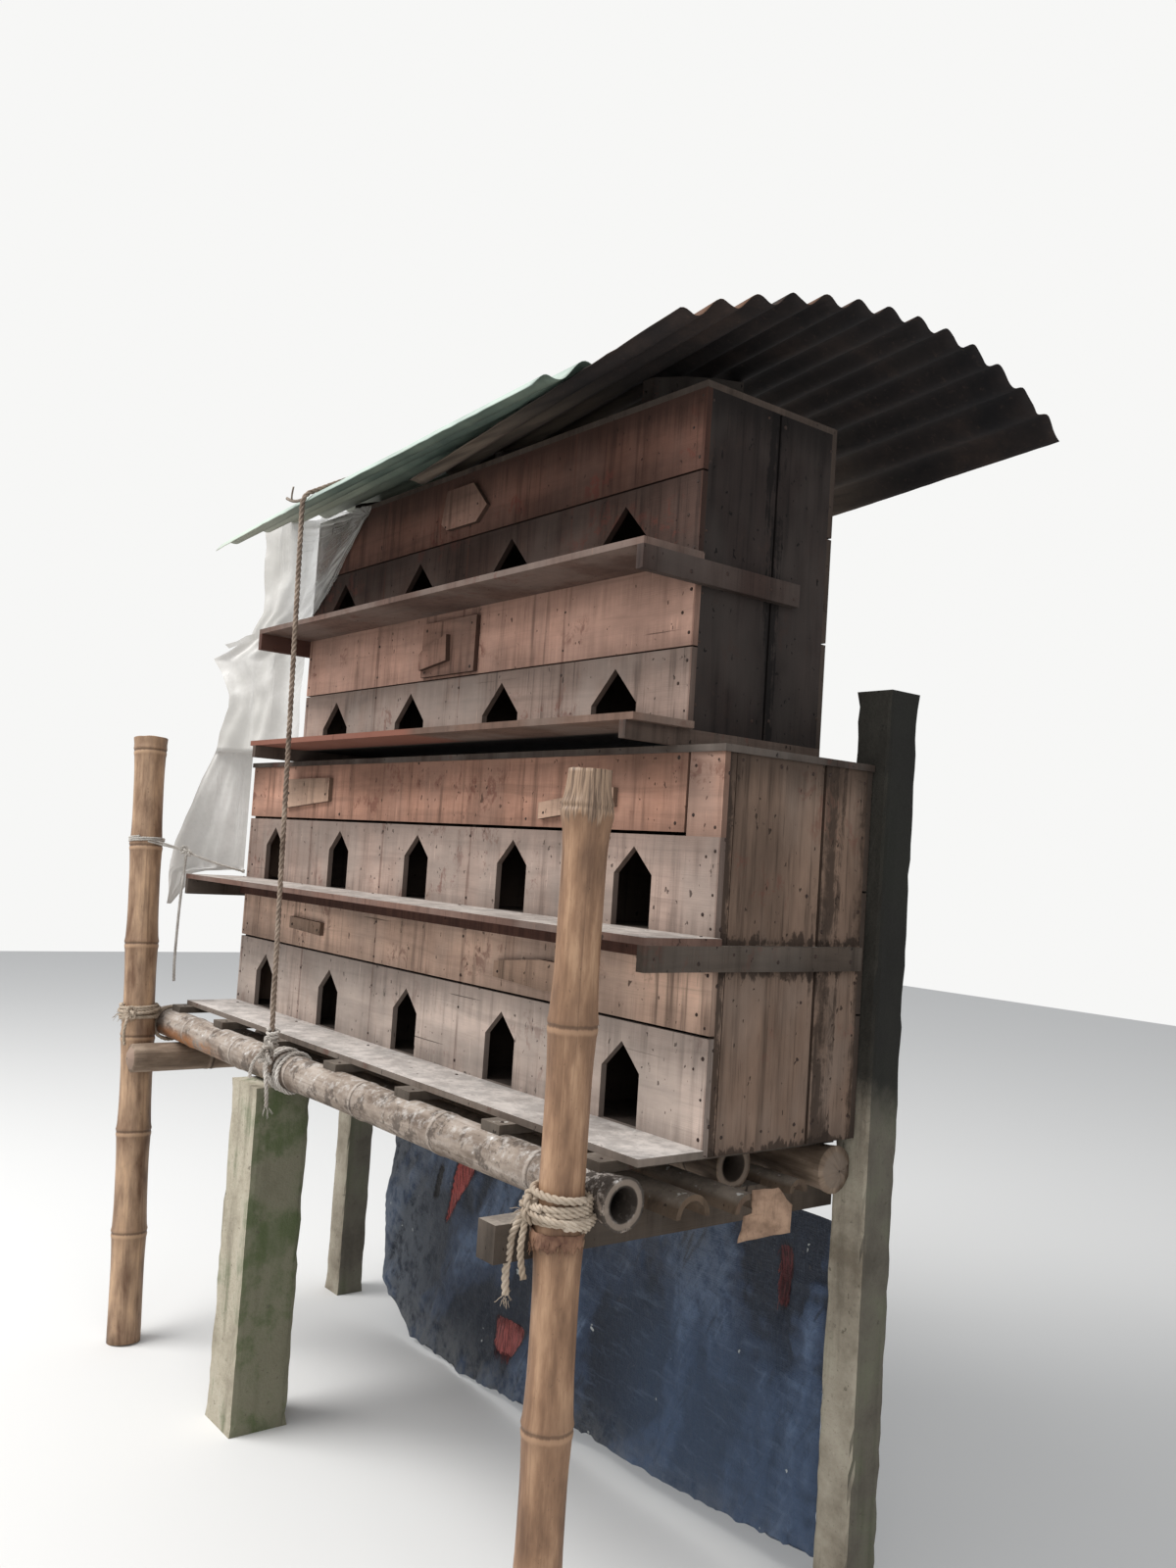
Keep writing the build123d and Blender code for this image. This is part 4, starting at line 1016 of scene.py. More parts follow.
footX, topX, over = stay["footX"], stay["topX"], stay["over"]
greenFront = greenSheet["frontRun"]
greenBack = greenFront + greenSheet["waves"] * roofShape["pitch"]
stayRoute = places((footX, -171.5, -45), (footX - 1, -172.5, 0), (topX + 2, -188.5, 930))
for above, step in ((-24, (0, -6.5, 0)), (-8, (0, -6.5, 0)), (8, (0, 1, 0))):
    stayRoute.append(overGreen(greenFront, above) + Vector(step))
for run in (-66, -33, 20, 86, 152, 218, 284, 350, 410, greenBack):
    stayRoute.append(overGreen(run, over))
for above, step in ((4, (0, 7, 0)), (-14, (0, 8, 0)), (-60, (1, 5, 0))):
    stayRoute.append(overGreen(greenBack, above) + Vector(step))
stayRoute += places((footX - 1, 323, 30), (footX, 320, -45))

lay = {"count": 3, "sides": 6}
thinLay = {"count": 3, "sides": 5}
poleWay = Vector((1, 0, 0))
upright = Vector((0, 0, 1))
stayFoot = Vector((footX, -176, -22))
rearTurns = turnsRound(Vector((-978, 278, poleZ)), poleWay, 39.0, 18, 2.0, 0.4)
stayPoints, stayFaces = [], []
stayRope = strand(stayRoute, stay["spacing"], stay["radius"], stay["pitch"])
ropeMesh([stayRope, strand(rearTurns, 4.0, 4.6, 30.0, 0.9)], lay, stayPoints, stayFaces)
stayFinish = ropeFinish("stayRope", (0.36, 0.285, 0.225), (0.15, 0.11, 0.085))
meshPiece("ropeStay", stayPoints, stayFaces, stayFinish, True, ("rope_stay",))


def frontPoleAt(x):  # the middle of the front pole there
    return Vector((x, -135, poleZ))


# whitish, frayed turns where the stay is made fast round the front pole
wrapFoot = stayFoot + Vector((0, 4, 22))
tiePoints, tieFaces = [], []
ropeMesh(
    [
        strand(turnsRound(frontPoleAt(-990), poleWay, 36.5, 26, 3.2, 1.2, 3.0), 4.0, 4.2, 26.0, 0.4),
        strand(turnsRound(frontPoleAt(-958), poleWay, 36.0, 34, 2.2, 0.2, 4.0), 4.0, 4.0, 26.0, 0.9),
        strand(turnsRound(wrapFoot, Vector((0.1, 0, 1)), 10.0, 34, 4.3, 0.3), 3.0, 3.8, 24.0, 0.2),
        strand(knot(stayFoot + Vector((2, -6, 6)), 15.0, Vector((0.3, -1, 0.2))), 3.0, 4.2, 26.0),
        strand(knot(stayFoot + Vector((6, -4, 30)), 12.0, Vector((0.4, -1, 0)), 1.0), 3.0, 4.0, 26.0, 0.6),
        strand(places((-952, -182, -20), (-940, -190, -44), (-926, -190, -70), (-932, -186, -104)),
               4.0, 4.0, 26.0, 0.3),
        strand(places((-964, -184, -6), (-978, -194, -22), (-992, -196, -44), (-1000, -192, -62)),
               4.0, 3.6, 26.0, 0.8),
    ],
    thinLay, tiePoints, tieFaces,
)
noise.seed_set(11)
hairs = frayed(stayFoot + Vector((2, -8, 10)), Vector((0.4, -1, 0.1)), 34, 26, 1.0)
hairs += frayed(Vector((-932, -186, -104)), Vector((0, -0.3, -1)), 14, 20, 2.0)
addHairs(hairs, 0.8, tiePoints, tieFaces)
meshPiece("stayTie", tiePoints, tieFaces, ropeFinish("paleRope", (0.64, 0.60, 0.55), (0.33, 0.29, 0.25)))


def rightPostAt(z):
    return Vector((rightPostX, rightPostY, z))


# right post: turns round the post and pole, a knot at the left and two ends hanging
lashPoints, lashFaces = [], []
tiltedUp = Vector((0.10, 0.05, 1))
knotPlace = Vector((-66, -226, -56))
upperKnot = knotPlace + Vector((5, -6, 13))
longEnd = places((-70, -228, -58), (-82, -240, -82), (-84, -240, -112), (-92, -240, -140),
                 (-88, -238, -168))
shortEnd = places((-64, -232, -62), (-58, -242, -84), (-60, -242, -110), (-50, -240, -138))
ropeMesh(
    [
        strand(turnsRound(rightPostAt(-34), tiltedUp, 36.0, 3, 1.0, 3.4, 1.5), 4.0, 5.4, 30.0),
        strand(turnsRound(rightPostAt(-70), upright, 35.6, 27, 4.2, 3.4, 2.0), 4.0, 4.8, 28.0),
        strand(turnsRound(rightPostAt(-62), tiltedUp, 41.5, 14, 1.9, 2.6, 2.5), 4.0, 4.6, 28.0, 0.5),
        strand(knot(knotPlace, 17.0, Vector((-0.7, -1, 0.1))), 3.0, 5.2, 28.0),
        strand(knot(upperKnot, 12.0, Vector((-0.5, -1, 0.6)), 0.8), 3.0, 4.8, 26.0, 0.4),
        strand(longEnd, 4.0, 5.4, 30.0),
        strand(shortEnd, 4.0, 4.8, 28.0, 1.0),
    ],
    lay, lashPoints, lashFaces,
)
# left post: beige turns where the cross pole is tied on
leftLow = leftFoot + leftAim * 672
leftUpper = leftLow + Vector((0, 0, 8))
leftHigh = leftFoot + leftAim * 1064
leftTilt = leftAim + Vector((0.16, 0, 0))
leftEnd = [leftLow + Vector(step) for step in ((36, -34, 14), (48, -44, -4), (46, -46, -28), (54, -44, -50))]
ropeMesh(
    [
        strand(turnsRound(leftLow, leftAim, 38.0, 32, 4.2, 0.6, 2.4), 4.0, 4.2, 24.0),
        strand(turnsRound(leftUpper, leftTilt, 41.0, 16, 1.6, 2.2, 3.0), 4.0, 4.0, 24.0, 0.3),
        strand(turnsRound(frontPoleAt(-1582), poleWay, 36.0, 20, 2.6, 0.5, 2.0), 4.0, 4.0, 24.0),
        strand(knot(leftLow + Vector((34, -30, 16)), 13.0, Vector((0.8, -1, 0.2))), 3.0, 4.0, 22.0),
        strand(leftEnd, 4.0, 3.8, 24.0),
    ],
    thinLay, lashPoints, lashFaces,
)
noise.seed_set(12)
hairs = frayed(knotPlace + Vector((0, -8, 0)), Vector((-0.6, -1, 0)), 26, 22, 3.0)
hairs += frayed(Vector((-88, -238, -168)), Vector((0, 0, -1)), 16, 16, 4.0)
hairs += frayed(leftLow + Vector((34, -34, 14)), Vector((0.8, -1, 0.2)), 40, 28, 5.0)
hairs += frayed(leftLow + Vector((-30, -30, 10)), Vector((-0.8, -1, 0.2)), 16, 22, 6.0)
addHairs(hairs, 0.8, lashPoints, lashFaces)
lashFinish = ropeFinish("beigeRope", (0.56, 0.47, 0.375), (0.29, 0.225, 0.165))
meshPiece("lashings", lashPoints, lashFaces, lashFinish, True, ("lashings",))

# thin white cord: two turns near the left post's top, a knot with a long tail, then the cabinet's corner
cordPoints, cordFaces = [], []
cordStart = leftHigh + Vector((35, -10, -2))
cordKnot = Vector((-1562, -140, 340))
cordNail = Vector((-1537.5, -7, 300))
cordMiddle = cordStart.lerp(cordKnot, 0.5)
second = [cordStart + Vector((-2, 3, 4)), cordMiddle + Vector((0, 0, 6)), cordKnot]
toNail = [cordKnot, cordKnot.lerp(cordNail, 0.45) + Vector((0, 0, -7)), cordNail]
tailSteps = ((4, 4, -4), (8, 2, -30), (1, 0, -110), (3, -2, -200), (-2, 0, -262), (0, 2, -294))
ropeMesh(
    [
        strand(turnsRound(leftHigh + Vector((0, 0, -3)), leftAim, 36.6, 9, 2.2, 1.2), 3.0, 2.4, 16.0),
        strand([cordStart, cordMiddle, cordKnot], 3.0, 2.3, 16.0),
        strand(second, 3.0, 2.1, 16.0, 0.5),
        strand(knot(cordKnot, 9.0, Vector((0.6, -1, 0.1))), 2.0, 3.2, 18.0),
        strand(knot(cordKnot + Vector((6, 8, -6)), 7.0, Vector((0.2, -1, 0.4)), 0.8), 2.0, 3.0, 18.0),
        strand(toNail, 3.0, 2.8, 18.0),
        strand(knot(cordNail, 3.6, Vector((0, -1, 0.2))), 2.0, 1.6, 14.0),
        strand([cordKnot + Vector(step) for step in tailSteps], 3.0, 3.4, 20.0),
    ],
    thinLay, cordPoints, cordFaces,
)
meshPiece("whiteTie", cordPoints, cordFaces, ropeFinish("whiteCord", (0.68, 0.65, 0.60), (0.34, 0.31, 0.275)))
print("rope made:", len(stayFaces) + len(tieFaces) + len(lashFaces) + len(cordFaces), "faces")
# torn sheath round a node, a loose flake and a twig


def thinPiece(name, outline, thick, bulge, material, rounds=5):
    # a thin curved flake: rings drawn in from its outline to the middle, in mm
    middle = sum((Vector(p) for p in outline), Vector()) / len(outline)
    edge = []
    for a, b in zip(outline, outline[1:] + outline[:1]):
        for k in range(6):
            p = a.lerp(b, k / 6)
            edge.append(p + wobble(p, 0.09, 1.6))
    flat = (outline[1] - outline[0]).cross(outline[-1] - outline[0]).normalized()
    points, faces = [], []
    count = len(edge)
    for side in (1, -1):
        for ring in range(rounds):
            t = 1 - ring / rounds
            for p in edge:
                q = middle.lerp(p, t)
                out = bulge * (1 - t * t) + side * thick / 2
                points.append(spot(*(q + flat * out + wobble(q, 0.05, 1.0))))
        points.append(spot(*(middle + flat * (bulge + side * thick / 2))))
    layer = count * rounds + 1
    for side in (0, 1):
        base = side * layer
        last, tip = base + (rounds - 1) * count, base + count * rounds
        for k in range(count):
            n = (k + 1) % count
            for ring in range(rounds - 1):
                a, b = base + ring * count, base + (ring + 1) * count
                quad = (a + k, a + n, b + n, b + k)
                faces.append(quad if side == 0 else quad[::-1])
            faces.append((last + k, last + n, tip) if side == 0 else (last + n, last + k, tip))
    for k in range(count):
        n = (k + 1) % count
        faces.append((k, layer + k, layer + n, n))
    return meshPiece(name, points, faces, material)


def sheathFinish(name, pale, dark):
    f = Finish(name)
    fibre = f.noise(f.vector(f.x * 300.0, f.y * 300.0, f.z * 18.0), 1.0, 4.0, 0.7)
    cloud = f.noise(f.place, 40.0, 4.0, 0.65)
    f.paint = f.ramp(cloud, [(0.35, dark), (0.65, pale)])
    f.coat(f.fade(fibre, 0.52, 0.72) * 0.5, scaled(dark, 0.5))
    return f.done(f.paint, 0.8, f.bump(fibre + cloud, 0.0012, 0.7), Specular_IOR_Level=0.3)


flakeOutline = places((-3, 80, -121), (49, 125, -98), (50, 125, -62), (40, 107, -40), (17, 81, -46),
                      (18, 81, -77), (5, 80, -84))
flakeFinish = sheathFinish("drySheath", (0.36, 0.235, 0.16), (0.20, 0.125, 0.083))
thinPiece("sheathFlake", flakeOutline, 1.6, 5.0, flakeFinish)

collar = {"top": -76.0, "foot": -98.0, "radius": 34.6, "from": 2.4, "round": 4.2, "columns": 84, "rows": 5,
          "thick": 0.9, "hairs": 90}
points, faces = [], []
for layer in (0, 1):
    for column in range(collar["columns"] + 1):
        angle = collar["from"] + collar["round"] * column / collar["columns"]
        tear = abs(noise.noise(Vector((angle * 3.1, 2, 0)))) * 20
        tear += abs(noise.noise(Vector((angle * 12.0, 7, 0)))) * 12
        upper = collar["top"] + noise.noise(Vector((angle * 2, 4, 0))) * 4
        flare = noise.noise(Vector((angle * 4, 9, 0)))
        for row in range(collar["rows"] + 1):
            t = row / collar["rows"]
            z = upper + (collar["foot"] + tear - collar["top"]) * t
            r = collar["radius"] + t * 3.0 * flare + t * 1.6 + layer * collar["thick"]
            points.append(spot(rightPostX + math.cos(angle) * r, rightPostY + math.sin(angle) * r, z))
rows = collar["rows"] + 1
layerSize = (collar["columns"] + 1) * rows
for column in range(collar["columns"]):
    for row in range(collar["rows"]):
        a = column * rows + row
        faces.append((a, a + rows, a + rows + 1, a + 1))
        faces.append((layerSize + a, layerSize + a + 1, layerSize + a + rows + 1, layerSize + a + rows))
    for row in (0, collar["rows"]):
        a = column * rows + row
        quad = (a, layerSize + a, layerSize + a + rows, a + rows)
        faces.append(quad if row == 0 else quad[::-1])
for column in (0, collar["columns"]):
    for row in range(collar["rows"]):
        a = column * rows + row
        quad = (a, a + 1, layerSize + a + 1, layerSize + a)
        faces.append(quad if column == 0 else quad[::-1])
noise.seed_set(31)
hairs = []
for k in range(collar["hairs"]):
    angle = collar["from"] + collar["round"] * noise.random()
    way = Vector((math.cos(angle), math.sin(angle), 0))
    start = Vector((rightPostX, rightPostY, -80 - noise.random() * 8)) + way * 34.5
    drop = 8 + noise.random() * 16
    hairs.append([start, start + way * (1 + noise.random() * 3) + Vector((0, 0, -drop * 0.6)),
                  start + way * noise.random() * 3 + Vector((noise.random() * 6 - 3, 0, -drop))])
addHairs(hairs, 1.1, points, faces)
collarFinish = sheathFinish("redBrownSheath", (0.30, 0.17, 0.105), (0.115, 0.055, 0.035))
meshPiece("nodeSheath", points, faces, collarFinish)

points, faces = [], []
twig = [strand(places((-1041, -189, 1033), (-1010, -190, 1026), (-976, -189, 1016)), 4.0, 6.0, 90.0),
        strand(places((-1020, -190, 1028), (-1014, -194, 1040), (-1012, -195, 1050)), 4.0, 3.4, 60.0)]
ropeMesh(twig, {"count": 1, "sides": 7}, points, faces)
meshPiece("twig", points, faces, sheathFinish("greyTwig", (0.22, 0.18, 0.145), (0.10, 0.075, 0.058)))
print("small bits made")

# tarpaulin

tarp = {"left": -1338.0, "right": -41.5, "back": 312.5, "columns": 260, "rows": 130}
tarpHem = [(-1338, -598), (-1306, -625), (-1200, -688), (-1011, -697), (-760, -674), (-512, -655),
           (-310, -651), (-41.5, -622)]
tarpHead = [(-1338, -18), (-150, -18), (-130, -132), (-41.5, -132)]
tears = {  # middle, half size, lean, taper and colour seen in the cut: the red lining, darkened by painted shade in the gash, and painted shade alone in the slit
    "strip": {"at": (-1058, -340), "half": (19, 78), "lean": 0.54, "taper": 0.85,
              "lining": (0.44, 0.080, 0.068)},
    # the slit shows painted shade, near black
    "slit": {"at": (-1132, -338), "half": (10, 38), "lean": 0.35, "taper": 0.0,
             "lining": (0.012, 0.010, 0.012)},
    "patch": {"at": (-848, -575), "half": (44, 36), "lean": 0.30, "taper": 0.30,
              "lining": (0.40, 0.100, 0.090)},
    # the gash shows the red lining in painted shade
    "gash": {"at": (-134, -241), "half": (13, 48), "lean": 0.0, "taper": 0.25,
             "lining": (0.085, 0.018, 0.020)},
}


def along(stops, at):  # value between the nearest two stops
    for (a, first), (b, second) in zip(stops, stops[1:]):
        if at <= b:
            return first + (second - first) * max(0.0, at - a) / (b - a)
    return stops[-1][1]


def tearReach(tear, x, z):  # under 1 inside the tear
    v = (z - tear["at"][1]) / tear["half"][1]
    u = (x - tear["at"][0] - tear["lean"] * (z - tear["at"][1])) / tear["half"][0] / (1 + tear["taper"] * v)
    return u**4 + v**4 if abs(v) < 1.2 else 9.0


def tarpFold(x, z):  # sharp diagonal creases over soft swells
    lean = along([(-1338, 0.62), (-900, 0.50), (-600, 0.32), (-300, 0.12), (-41, 0.02)], x)
    a, b = x - lean * z, z + lean * x
    fold = noise.noise(Vector((a * 0.0075, b * 0.0022, 1))) * 16.0
    for size, tall, high in ((0.013, 0.0036, 11.0), (0.030, 0.008, 5.0), (0.07, 0.02, 2.2)):
        some = 0.5 + 0.7 * noise.noise(Vector((x * 0.005, 6, z * 0.005 + size)))
        fold += (0.35 - abs(noise.noise(Vector((a * size, b * tall, size * 90)))) * 1.6) * high * some
    wrinkle = noise.noise(Vector((x * 0.008, z * 0.05, 8))) * along([(-1338, 0), (-500, 0.5), (-41, 3.4)], x)
    return fold + wrinkle + noise.noise(Vector((x, 9, z)) * 0.06) * 1.4


def tarpY(x, z):
    loose = min(1.0, max(0.0, (-60 - z) / 160.0))
    y = tarp["back"] + 6.0 + loose * tarpFold(x, z)
    return max(y, 313.2 if z > -95 else 290.0)


points, faces, flat, ridges = [], [], [], []
for row in range(tarp["rows"] + 1):
    for column in range(tarp["columns"] + 1):
        s, t = column / tarp["columns"], row / tarp["rows"]
        x = tarp["left"] + (tarp["right"] - tarp["left"]) * s
        high, low = along(tarpHead, x), along(tarpHem, x)
        z = high + (low - high) * t
        if column in (0, tarp["columns"]):
            x += noise.noise(Vector((z * 0.02, 1, column))) * (5 if column == 0 else 1)
        if row == tarp["rows"]:
            z += abs(noise.noise(Vector((x * 0.02, 5, 2)))) * 18
        y = tarpY(x, z)
        torn = min(tearReach(tear, x, z) for tear in tears.values())
        points.append(spot(x, y + (3.0 if torn < 0.9 else 0.0), max(z, -697.5)))
        flat.append((s, t))
        # how far a fold stands out, for the tarp's painted highlight and shade
        ridges.append(max(0.0, min(1.0, 0.5 - tarpFold(x, z) / 13.0)))
wide = tarp["columns"] + 1
for row in range(tarp["rows"]):
    for column in range(tarp["columns"]):
        a = row * wide + column
        faces.append((a, a + wide, a + wide + 1, a + 1))


def clothMap(piece, laid):
    layer = piece.data.uv_layers.new(name="cloth")
    for loop in piece.data.loops:
        layer.data[loop.index].uv = laid[loop.vertex_index]


def tarpFinish():
    f = Finish("blueTarp")
    ridge = f.node("Attribute", {"attribute_name": "ridge"}, {}, "Fac")
    broad = f.noise(f.place, 4.4, 6.0, 0.7)
    dirtAndSheen = f.noise(f.vector(f.x * 34.0, f.y * 8.0, f.z * 26.0), 1.0, 6.0, 0.74)
    fine = f.noise(f.place, 120.0, 4.0, 0.7)
    weave = f.noise(f.vector(f.x * 620.0, f.y * 40.0, f.z * 50.0), 1.0, 2.0)
    weft = f.noise(f.vector(f.x * 50.0, f.y * 40.0, f.z * 620.0), 1.0, 2.0)
    crease = f.noise(f.vector((f.x - f.z * 0.55) * 42.0, 0.0, (f.z + f.x * 0.55) * 5.0), 1.0, 5.0, 0.68)
    stops = [(0.34, (0.017, 0.028, 0.056)), (0.5, (0.030, 0.048, 0.090)), (0.66, (0.046, 0.073, 0.132))]
    f.paint = f.ramp(broad, stops)
    # painted highlight on fold crests, patchy, and along the creases
    f.coat(f.fade(ridge, 0.52, 0.80) * f.fade(dirtAndSheen, 0.34, 0.56) * 0.75, (0.105, 0.155, 0.250))
    f.coat(f.fade(crease, 0.54, 0.68) * f.fade(ridge, 0.35, 0.75) * 0.6, (0.150, 0.200, 0.290))
    # painted shade in the fold hollows and along dark crease lines
    f.coat(f.fade(ridge, 0.48, 0.22) * 0.85, (0.006, 0.009, 0.017))
    f.coat(f.fade(crease, 0.45, 0.36) * 0.7, (0.009, 0.013, 0.023))
    wrinkle = f.noise(f.vector(f.x * 12.0, 0.0, f.z * 70.0 + f.x * 6.0), 1.0, 5.0, 0.7, 0.4)
    # painted highlight and painted shade along fine wrinkles at the lower right
    lowRight = f.fade(f.x, -0.05, 0.35) * f.fade(f.z, 0.50, 0.30)
    f.coat(lowRight * f.fade(wrinkle, 0.53, 0.66) * 0.35, (0.125, 0.165, 0.235))
    f.coat(lowRight * f.fade(wrinkle, 0.46, 0.36) * 0.35, (0.013, 0.020, 0.038))
    f.coat((f.fade(weave, 0.5, 0.72) + f.fade(weft, 0.5, 0.72)) * 0.16, (0.13, 0.155, 0.20))
    high = f.fade(f.z, 0.30, 0.52)
    middle = f.fade(f.x, -0.15, 0.20) * f.fade(f.x, 0.72, 0.45)
    f.coat(high * middle * f.fade(dirtAndSheen, 0.36, 0.58) * 0.55, (0.080, 0.074, 0.068))
    f.coat(f.fade(dirtAndSheen, 0.60, 0.72) * 0.45, (0.110, 0.098, 0.088))
    # painted highlight: paler grey-blue over the left part
    left = f.fade(f.x, -0.22, -0.50)
    f.coat(left * f.fade(dirtAndSheen, 0.38, 0.56) * 0.6, (0.165, 0.185, 0.215))
    low = f.fade(f.z, 0.14, 0.01)
    f.coat(low * f.fade(dirtAndSheen, 0.36, 0.60) * 0.7, (0.140, 0.145, 0.150))
    right = f.fade(f.x, 0.20, 0.45) * f.fade(f.z, 0.42, 0.24)
    f.coat(right * 0.45, (0.050, 0.088, 0.160))
    f.coat(f.fade(fine, 0.70, 0.76) * 0.6, (0.36, 0.36, 0.36))
    ragged = f.noise(f.vector(f.x * 90.0, 0.0, f.z * 30.0), 1.0, 3.0, 0.7)
    thread = f.noise(f.vector(f.x * 330.0, 0.0, f.z * 26.0), 1.0, 2.0)
    for tear in tears.values():
        place = spot(tear["at"][0], 0, tear["at"][1])
        halfWide, halfTall = tear["half"][0] / 1000, tear["half"][1] / 1000
        v = (f.z - place.z) * (1 / halfTall)
        across = ((f.x - place.x) - (f.z - place.z) * tear["lean"]) * (1 / halfWide)
        u = f.node("Math", {"operation": "DIVIDE"}, {0: across, 1: v * tear["taper"] + 1.0})
        gap = (u * u) * (u * u) + (v * v) * (v * v) + (ragged - 0.5) * 1.5
        f.coat(f.fade(gap, 1.9, 1.1) * 0.8, (0.014, 0.014, 0.020))
        lining = f.mix(f.fade(thread, 0.42, 0.60), tear["lining"], scaled(tear["lining"], 0.35))
        f.coat(f.fade(gap, 1.0, 0.8), lining)
    splash = f.noise(f.place, 46.0, 2.0, 0.5)
    f.coat(f.fade(splash, 0.745, 0.77) * 0.8, (0.50, 0.52, 0.50))
    bumpy = weave * 0.6 + weft * 0.6 + dirtAndSheen * 2.0 + fine
    return f.done(f.paint, 0.58, f.bump(bumpy + crease * 1.5 + wrinkle, 0.003, 0.8), Specular_IOR_Level=0.4)


tarpPiece = meshPiece("blueTarp", points, faces, tarpFinish(), True, ("tarpaulin",))
clothMap(tarpPiece, flat)
tarpPiece.data.attributes.new("ridge", "FLOAT", "POINT").data.foreach_set("value", ridges)

# loose threads at the torn edges
threadPoints, threadFaces = [], []
noise.seed_set(21)
threads = []
for tear, count in (("patch", 70), ("gash", 34), ("strip", 30)):
    cut = tears[tear]
    for k in range(count):
        v = 0.93 if k % 2 else -0.93
        u = (noise.random() * 2 - 1) * 0.9
        if tear != "patch":
            v, u = noise.random() * 1.8 - 0.9, 0.9 if k % 2 else -0.9
        z = cut["at"][1] + v * cut["half"][1]
        x = cut["at"][0] + cut["lean"] * (z - cut["at"][1]) + u * cut["half"][0] * (1 + cut["taper"] * v)
        y = tarpY(x, z)
        slip, drop = (noise.random() - 0.5) * 9, 6 + noise.random() * 14
        middle, end = (x + slip * 0.4, y - 2.5, z - drop * 0.4), (x + slip, y - 3, z - drop)
        threads.append(places((x, y + 1, z + 3), middle, end))
addHairs(threads, 0.7, threadPoints, threadFaces)
threadFinish = ropeFinish("tornThread", (0.26, 0.09, 0.085), (0.03, 0.02, 0.025))
meshPiece("tornThreads", threadPoints, threadFaces, threadFinish)

# clear film: over the upper front, free at the left, over the lower cabinet's top, and down its left end

film = {"columns": 90, "upperRows": 74, "lowerRows": 44, "stepZ": 572.0, "wallY": 11.8, "bendX": -1338.4,
        "leftTop": 1086, "rightTop": 1074, "foot": 216.5}
upperLeft = [(572, -1553), (583, -1550), (669, -1521), (695, -1521), (740, -1547), (781, -1577),
             (800, -1534), (829, -1490), (885, -1464), (940, -1467), (1046, -1474), (1086, -1478)]
upperRight = [(572, -1341), (852, -1340), (864, -1320), (894, -1272), (940, -1211), (1060, -1089),
              (1076, -1084)]
lowerLeft = [(215, -1655), (309, -1659), (355, -1653), (424, -1638), (505, -1620), (572, -1600)]
lowerRight = [(215, -1653), (260, -1629), (292, -1620), (299, -1585), (303, -1541), (572, -1541)]


def filmFold(x, z, s):
    fold = math.sin(s * 13.0 + z / 150.0 + 2.4 * noise.noise(Vector((x, 1, z)) * 0.005)) * 6.0
    fold += math.sin(s * 31.0 - z / 90.0) * 1.8 + noise.noise(Vector((x, z, 3)) * 0.022) * 5.0
    return fold


def filmSpot(x, z, s, lower):
    if lower:
        loose = min(1.0, (-1541 - x) / 30)
        return spot(x, -5 + (x + 1541) * 133 / 119 + filmFold(x, z, s) * 0.5 * loose, z)
    past = max(0.0, film["bendX"] - x)
    free = min(1.0, past / 50.0)
    hug = abs(filmFold(x + z * 0.8, z, s * 1.6)) * 0.7
    return spot(x, film["wallY"] - past * 150 / 321.6 + free * filmFold(x, z, s) - (1 - free) * hug, z)


points, faces, flat = [], [], []
span = film["columns"] + 1
for row in range(film["upperRows"] + 1):
    t = 1 - row / film["upperRows"]
    for column in range(span):
        s = column / film["columns"]
        zLeft = film["stepZ"] + (film["leftTop"] - film["stepZ"]) * t
        zRight = film["stepZ"] + (film["rightTop"] - film["stepZ"]) * t
        x = along(upperLeft, zLeft) * (1 - s) + along(upperRight, zRight) * s
        z = zLeft * (1 - s) + zRight * s + 5 * math.sin(math.pi * s) * t**3
        points.append(filmSpot(x, z, s, False))
        flat.append((s * 0.6, 0.4 + t * 0.5))
for row in range(film["lowerRows"] + 1):
    t = row / film["lowerRows"]
    for column in range(span):
        s = column / film["columns"]
        z = film["stepZ"] - 1.5 - (film["stepZ"] - film["foot"]) * t
        x = along(lowerLeft, z) * (1 - s) + along(lowerRight, z) * s
        points.append(filmSpot(x, z, s, True))
        flat.append((s * 0.2, 0.38 * (1 - t)))
for row in range(film["upperRows"] + film["lowerRows"] + 1):
    for column in range(film["columns"]):
        a = row * span + column
        faces.append((a, a + span, a + span + 1, a + 1))
scrap = [(-1338, -58, 827), (-1372, -62, 832), (-1410, -72, 824), (-1452, -78, 820), (-1490, -86, 812),
         (-1524, -96, 806)]
for k, (x, y, z) in enumerate(scrap):  # a twisted strip of it on the landing board's end
    half = 11 - k * 1.2
    points += [spot(x, y - 4 * (k % 2), z + half * 0.6), spot(x + 3, y + 5 * (k % 2), z - half)]
    flat += [(k * 0.036, 0.95), (k * 0.036, 0.97)]
    if k:
        a = len(points) - 4
        faces.append((a, a + 1, a + 3, a + 2))


